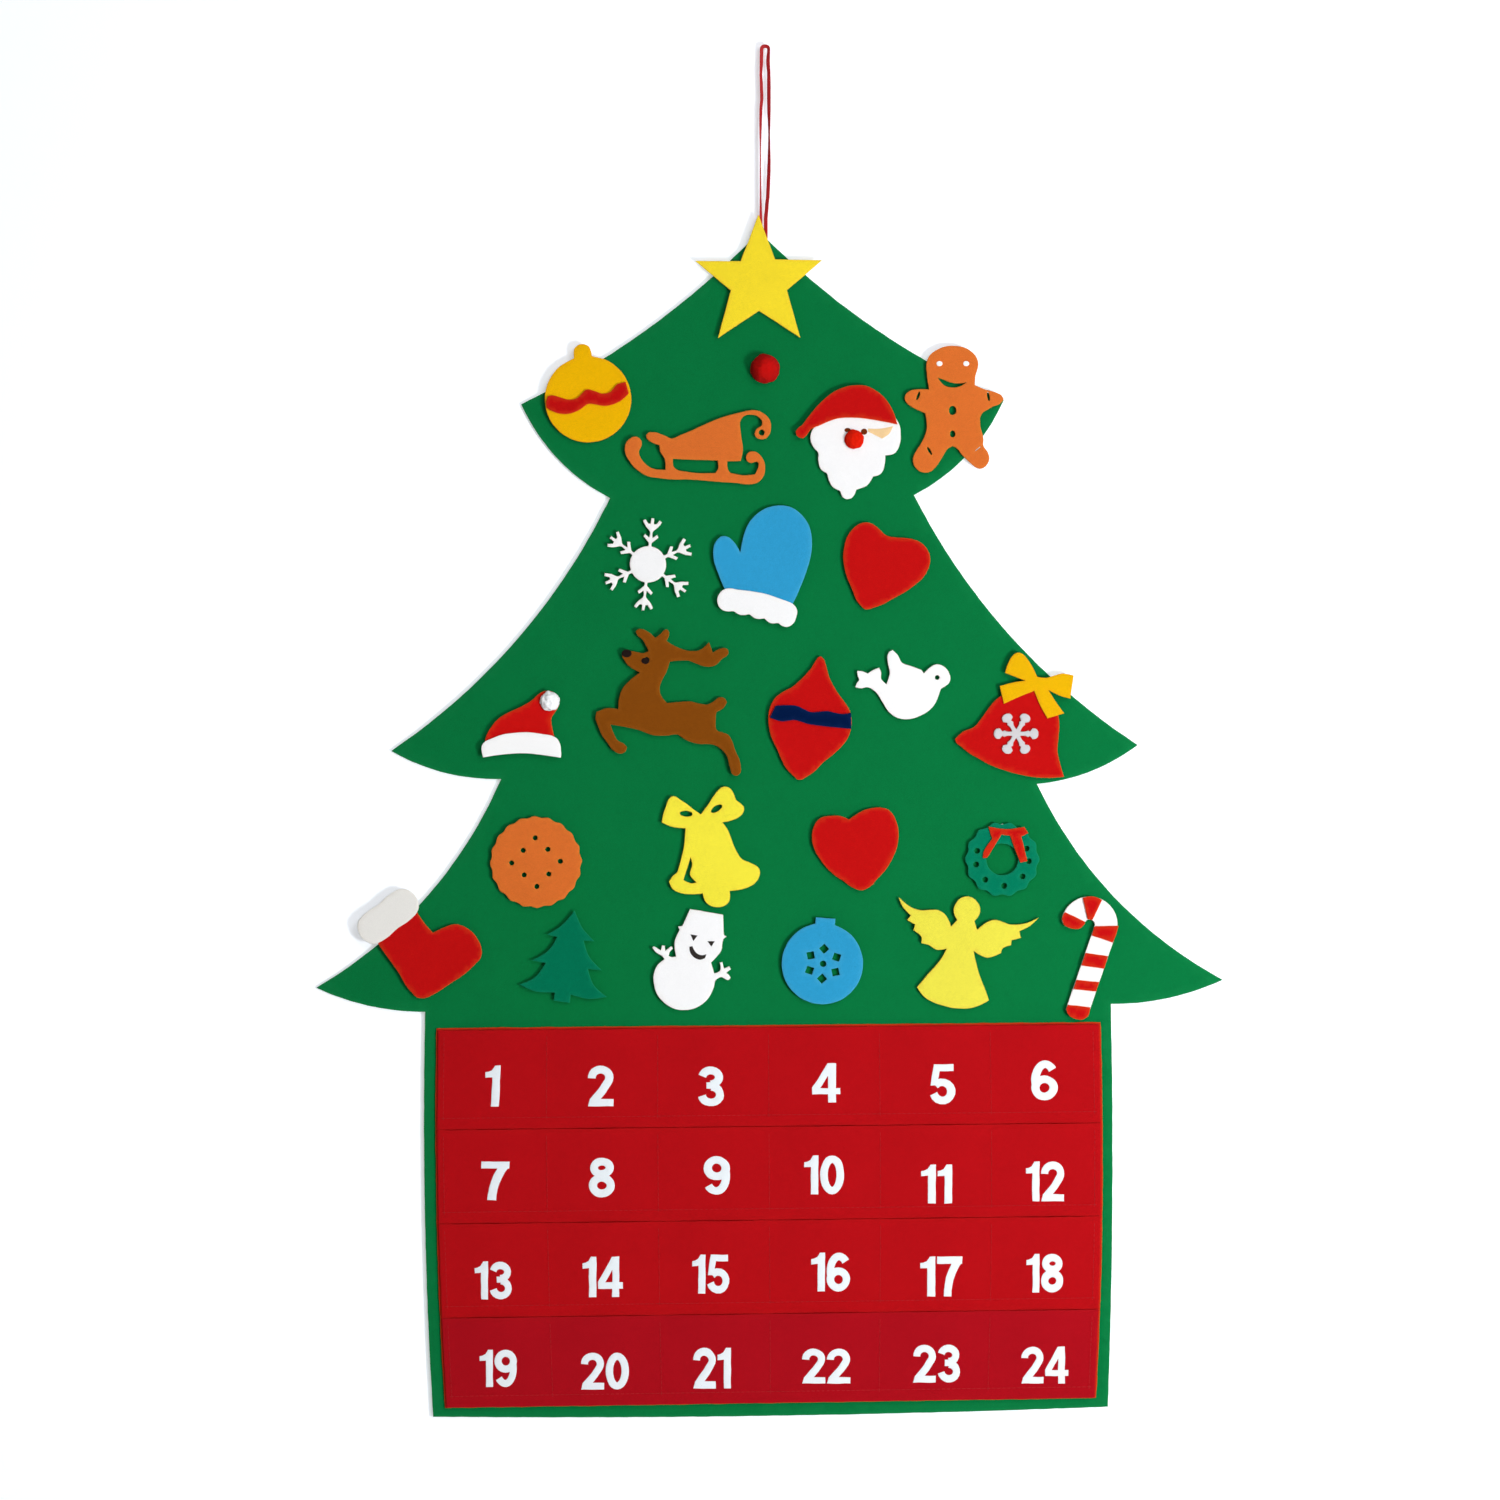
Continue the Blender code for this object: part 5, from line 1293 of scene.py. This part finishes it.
def hookTree(material):
    # crooked nylon hooks, scattered over the side of a dot that faces the wall
    tree, given = startTree("hookField", {
        "Hook Height": ("Float", dotSet["hookHeight"]),
        "Hook Width": ("Float", dotSet["hookWidth"]),
        "Density": ("Float", dotSet["hooksPerSquareMetre"]),
        "Seed": ("Int", dotSet["seed"]),
    })
    facing = tree.nodes.new("GeometryNodeInputNormal").outputs["Normal"]
    split = addNode(tree, "ShaderNodeSeparateXYZ", {0: facing})
    scatter = addNode(tree, "GeometryNodeDistributePointsOnFaces", {
        "Mesh": given["Geometry"], "Density": given["Density"], "Seed": given["Seed"],
        "Selection": mathNode(tree, "GREATER_THAN", split.outputs["Y"], 0.95)}).outputs
    reach, top, tip = (mathNode(tree, "MULTIPLY", given["Hook Height"], share)
                       for share in (0.6, 1.5, 0.55))
    hook = bentFibre(tree, ((0, 0), (0, top), (reach, tip)), given["Hook Width"], 4, 4)
    hooks = onPoints(tree, scatter["Points"], hook, scatter["Rotation"])
    both = addNode(tree, "GeometryNodeJoinGeometry", {"Geometry": hooks})
    tree.links.new(given["Geometry"], both.inputs["Geometry"])
    return endTree(tree, both.outputs["Geometry"], material)


def makeDots():
    material = tapeMaterial()
    tree = hookTree(material)
    radius = (dotSet["radius"], dotSet["radius"])
    circle = arcPoints((0, 0), radius, 0, 360, dotSet["steps"])[:-1]
    for body, centre in dotCentres.items():
        disc = cutShape(
            body + "_disc", [[centre + offset for offset in circle]], dotSet["front"],
            dotSet["back"] - dotSet["front"], material, spacing=dotSet["spacing"], dimple=0,
            insets=dotSet["insets"])
        values = {"Seed": dotSet["seed"] + len(body)}
        dot = applyNodes(body + "_hook_dot", disc, tree, values, material)
        bpy.data.objects.remove(disc)
        finishPiece(dot, body, "white_felt")


# sewing
stitchSet = {
    "pitch": 0.004, "length": 0.0031, "width": 0.00042, "arch": 0.00032, "sink": 0.00012,
    # how far the seams keep from a row's side, foot and mouth, and from the backing's top
    "sideSeam": 0.0048, "footSeam": 0.009, "mouthSeam": 0.007, "topSeam": 0.012,
    "topMargin": 0.01, "fieldWidth": 0.53,
    # the seams across the ribbon's tails, above their ends
    "tailSeams": (0.0025, 0.0045, 0.0065), "tailFront": -0.0002,
    "colours": ((150, 10, 18), (186, 30, 34)), "plies": (5200, 1, 0.5, 1.2),
    "plyHeight": 0.0001, "roughness": 0.6, "specular": 0.2,
}


def threadMaterial():
    # spun polyester: a soft shine broken by its plies
    material, tree, shader = newMaterial("sewing_thread")
    plies = noiseNode(tree, objectPlace(tree), *stitchSet["plies"])
    first, second = stitchSet["colours"]
    feed(tree, shader, {
        "Base Color": mixColour(tree, plies, srgb(*first), srgb(*second)),
        "Roughness": stitchSet["roughness"],
        "Specular IOR Level": stitchSet["specular"],
        "Normal": bumpNormal(tree, plies, stitchSet["plyHeight"]),
    })
    return material


def stitchTree(material):
    # one stitch for each pitch along the seams, arched out of the felt
    tree, given = startTree("seamStitches", {
        "Facing": ("Vector", (0, -1, 0)),
        "Pitch": ("Float", stitchSet["pitch"]),
        "Stitch Length": ("Float", stitchSet["length"]),
        "Thread Width": ("Float", stitchSet["width"]),
        "Arch": ("Float", stitchSet["arch"]),
    })
    seams = addNode(tree, "GeometryNodeMeshToCurve", {"Mesh": given["Geometry"]})
    spots = addNode(tree, "GeometryNodeResampleCurve", mode="LENGTH")
    feed(tree, spots, {"Curve": seams.outputs["Curve"], "Length": given["Pitch"]})
    turn = addNode(tree, "FunctionNodeAxesToRotation", {
        "Primary Axis": given["Facing"],
        "Secondary Axis": tree.nodes.new("GeometryNodeInputTangent").outputs[0]})
    strand = bentFibre(tree, archSpots(tree, given["Stitch Length"], given["Arch"]),
                       given["Thread Width"], 5, 5)
    stitches = onPoints(tree, spots.outputs["Curve"], strand, turn.outputs["Rotation"])
    return endTree(tree, stitches, material)


def seamLines():
    # the lines that the needle followed, each a start, an end and its distance in front
    lines = []
    high = fieldPoint(0, 0).y - fieldPoint(0, 1).y
    rowFront = fieldSet["rowFront"] + stitchSet["sink"]
    pockets = fieldSet["pockets"]
    edge = fieldSet["sideShare"] + stitchSet["sideSeam"] / stitchSet["fieldWidth"]
    for top, foot in fieldSet["rowShares"]:
        mouth = top + stitchSet["mouthSeam"] / high
        hem = foot - stitchSet["footSeam"] / high
        for seam in range(pockets + 1):
            s = clip(seam / pockets, edge, 1 - edge)
            lines.append((fieldPoint(s, mouth), fieldPoint(s, hem), rowFront))
        lines.append((fieldPoint(edge, hem), fieldPoint(1 - edge, hem), rowFront))
    topShare, margin = stitchSet["topSeam"] / high, stitchSet["topMargin"]
    lines.append((fieldPoint(margin, topShare), fieldPoint(1 - margin, topShare),
                  fieldSet["backingFront"] + stitchSet["sink"]))
    reach = ribbonSet["width"] / 2
    for above in stitchSet["tailSeams"]:
        foot = ribbonSet["tailEnd"] + above
        for side in ("left", "right"):
            middle = ribbonSet[side + "Places"][0] * 0.001
            lines.append((Vector((middle - reach, foot)), Vector((middle + reach, foot)),
                          stitchSet["tailFront"]))
    return lines


def makeStitches():
    # each seam shows on the front and, as its lower thread, on the tree's back
    material = threadMaterial()
    tree = stitchTree(material)
    back = treeSet["front"] + treeSet["thickness"] - stitchSet["sink"]
    for name, facing in (("front", (0, -1, 0)), ("back", (0, 1, 0))):
        places, edges = [], []
        for start, end, front in seamLines():
            depth = front if name == "front" else back
            edges.append((len(places), len(places) + 1))
            places += [(start.x, depth, start.y), (end.x, depth, end.y)]
        mesh = bpy.data.meshes.new("seams")
        mesh.from_pydata(places, edges, [])
        seams = addThing("seams", mesh)
        stitches = applyNodes(name + "_stitches", seams, tree, {"Facing": facing}, material)
        bpy.data.objects.remove(seams)
        finishPiece(stitches, "calendar", "red_felt")


# loose fibres
fuzzSet = {"length": 0.0013, "rise": 0.0003, "width": 0.00007, "edgeDensity": 380000,
           "faceDensity": 2500, "edgePower": 2, "tilt": 1.15, "sizes": (0.5, 1.15), "seed": 31,
           "sizeSeed": 7}


def fuzzTree():
    # fibres that stand out of the felt, thickly along its cut edge and sparsely on its faces
    tree, given = startTree("looseFibres", {
        "Fibre Length": ("Float", fuzzSet["length"]),
        "Bend": ("Float", fuzzSet["rise"]),
        "Fibre Width": ("Float", fuzzSet["width"]),
        "Edge Density": ("Float", fuzzSet["edgeDensity"]),
        "Face Density": ("Float", fuzzSet["faceDensity"]),
        "Tilt": ("Float", fuzzSet["tilt"]),
        "Seed": ("Int", fuzzSet["seed"]),
        "Felt": ("Material", None),
    })
    rim = addNode(tree, "GeometryNodeInputNamedAttribute", {"Name": "rim"})
    density = mathNode(tree, "POWER", rim.outputs["Attribute"], fuzzSet["edgePower"])
    density = mathNode(tree, "MULTIPLY", density, given["Edge Density"])
    density = mathNode(tree, "ADD", density, given["Face Density"])
    scatter = addNode(tree, "GeometryNodeDistributePointsOnFaces", {
        "Mesh": given["Geometry"], "Density": density, "Seed": given["Seed"]}).outputs
    reach = addNode(tree, "ShaderNodeCombineXYZ", {
        "X": given["Tilt"], "Y": given["Tilt"], "Z": math.pi}).outputs[0]
    lean = addNode(tree, "FunctionNodeRandomValue", data_type="FLOAT_VECTOR")
    feed(tree, lean, {0: scaleVector(tree, reach, -1), 1: reach, "Seed": given["Seed"]})
    euler = addNode(tree, "FunctionNodeEulerToRotation", {0: lean.outputs[0]})
    turn = addNode(tree, "FunctionNodeRotateRotation", {
        "Rotation": scatter["Rotation"], "Rotate By": euler.outputs[0]}, rotation_space="LOCAL")
    smallest, largest = fuzzSet["sizes"]
    size = addNode(tree, "FunctionNodeRandomValue", {
        2: smallest, 3: largest, "Seed": mathNode(tree, "ADD", given["Seed"], fuzzSet["sizeSeed"])})
    strand = bentFibre(tree, archSpots(tree, given["Fibre Length"], given["Bend"]),
                       given["Fibre Width"], 3, 3)
    fibres = onPoints(tree, scatter["Points"], strand, turn.outputs["Rotation"], size.outputs[1])
    return endTree(tree, fibres, given["Felt"])


def makeFuzz():
    tree = fuzzTree()
    total = 0
    for body, pieces in feltPieces.items():
        whole = bmesh.new()
        materials = []
        for index, piece in enumerate(pieces):
            material = piece.data.materials[0]
            if material not in materials:
                materials.append(material)
            values = {"Seed": fuzzSet["seed"] + index, "Felt": material}
            source = addThing("tuft_source", piece.data)
            tuft = applyNodes("tuft", source, tree, values, material)
            bpy.data.objects.remove(source)
            start = len(whole.faces)
            whole.from_mesh(tuft.data)
            whole.faces.ensure_lookup_table()
            for face in whole.faces[start:]:
                face.material_index = materials.index(material)
            bpy.data.meshes.remove(tuft.data)
        mesh = bpy.data.meshes.new(body + "_fuzz")
        whole.to_mesh(mesh)
        whole.free()
        for material in materials:
            mesh.materials.append(material)
        finishPiece(addThing(body + "_fuzz", mesh), body, None)
        total += len(mesh.polygons)
    print("loose fibres have", total, "faces")


# eyes, mouths and the like, in pixels: a centre and half sizes, or the points of an outline
prints = {
    "gingerbread_eye_left": ("gingerbread", ((939.3, 364), (3.0, 2.6)), "white"),
    "gingerbread_eye_right": ("gingerbread", ((966, 364), (3.0, 2.6)), "white"),
    "santa_cheek": ("santa_beard", (
        (868, 429), (880, 429), (893, 426.5), (889, 434), (882, 439), (876, 436), (868, 432)),
        "skin"),
    "santa_eye_left": ("santa_beard", ((847.5, 430.5), (3.2, 2.2)), "brown"),
    "santa_eye_right": ("santa_beard", ((864, 432), (3.2, 3.0)), "brown"),
    "reindeer_eye_patch": ("reindeer", ((645.5, 661), (4, 3.2)), "dark"),
    "reindeer_nose": ("reindeer", ((626.8, 653.5), (5, 4)), "dark"),
    # the snowman's eyes and smile: dark prints laid over the holes cut in its felt, painted shade
    # of those holes
    "snowman_eye_left": ("snowman", ((690.6, 934.2), (697.6, 935.4), (693.4, 940.8)), "grey"),
    "snowman_eye_right": ("snowman", ((707.6, 941), (714.8, 941), (711.4, 946.4)), "grey"),
    "snowman_smile": ("snowman", (
        (689.5, 946.5), (690, 951.5), (694, 957), (700, 959.5), (705, 958), (706.5, 954),
        (702, 955), (697.5, 953.5), (694, 949.5), (692.5, 946)), "grey"),
}
printSet = {
    "colours": {"white": (250, 250, 250), "dark": (34, 24, 22), "brown": (112, 48, 18),
                "grey": (52, 46, 44), "skin": (240, 205, 152)},
    "tone": 0.4, "thickness": 0.0004, "insets": (0.0001, 0.0), "steps": 20, "edgeStep": 0.0008,
    # how far a print stands out of its felt: the cheek lies under the eyes
    "proud": 0.00025, "cheekProud": 0.0002,
}


def printLoop(outline):
    if len(outline) == 2:
        centre, half = outline
        reach = (half[0] * pixel["size"], half[1] * pixel["size"])
        return arcPoints(onPlane(*centre), reach, 0, 360, printSet["steps"])[:-1]
    return smoothLoop([onPlane(*point) for point in outline], step=printSet["edgeStep"])


def makePrints():
    inks = {
        name: makeFeltMaterial("print_" + name, colour, colour, printSet["tone"], sheen=0.0)
        for name, colour in printSet["colours"].items()
    }
    for name, (node, outline, ink) in prints.items():
        body = bodyOfNode[node]
        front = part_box(node)[0].y - printSet["cheekProud" if ink == "skin" else "proud"]
        piece = cutShape(name, [printLoop(outline)], front, printSet["thickness"], inks[ink],
                         bends[body], insets=printSet["insets"], dimple=0)
        if piece:
            finishPiece(piece, body, None)


makeRoom()
findDots()
makeTree()
print("room is up and the tree sheet is cut")
pocketStrips = makePockets()
makeStitches()
print("pockets are sewn on")
makeNumbers(pocketStrips)
print("numbers are on")
makeOrnaments()
makeDomes()
makeDots()
makePrints()
print("ornaments are on")
makeFuzz()

bpy.context.scene.view_settings.view_transform = "Standard"
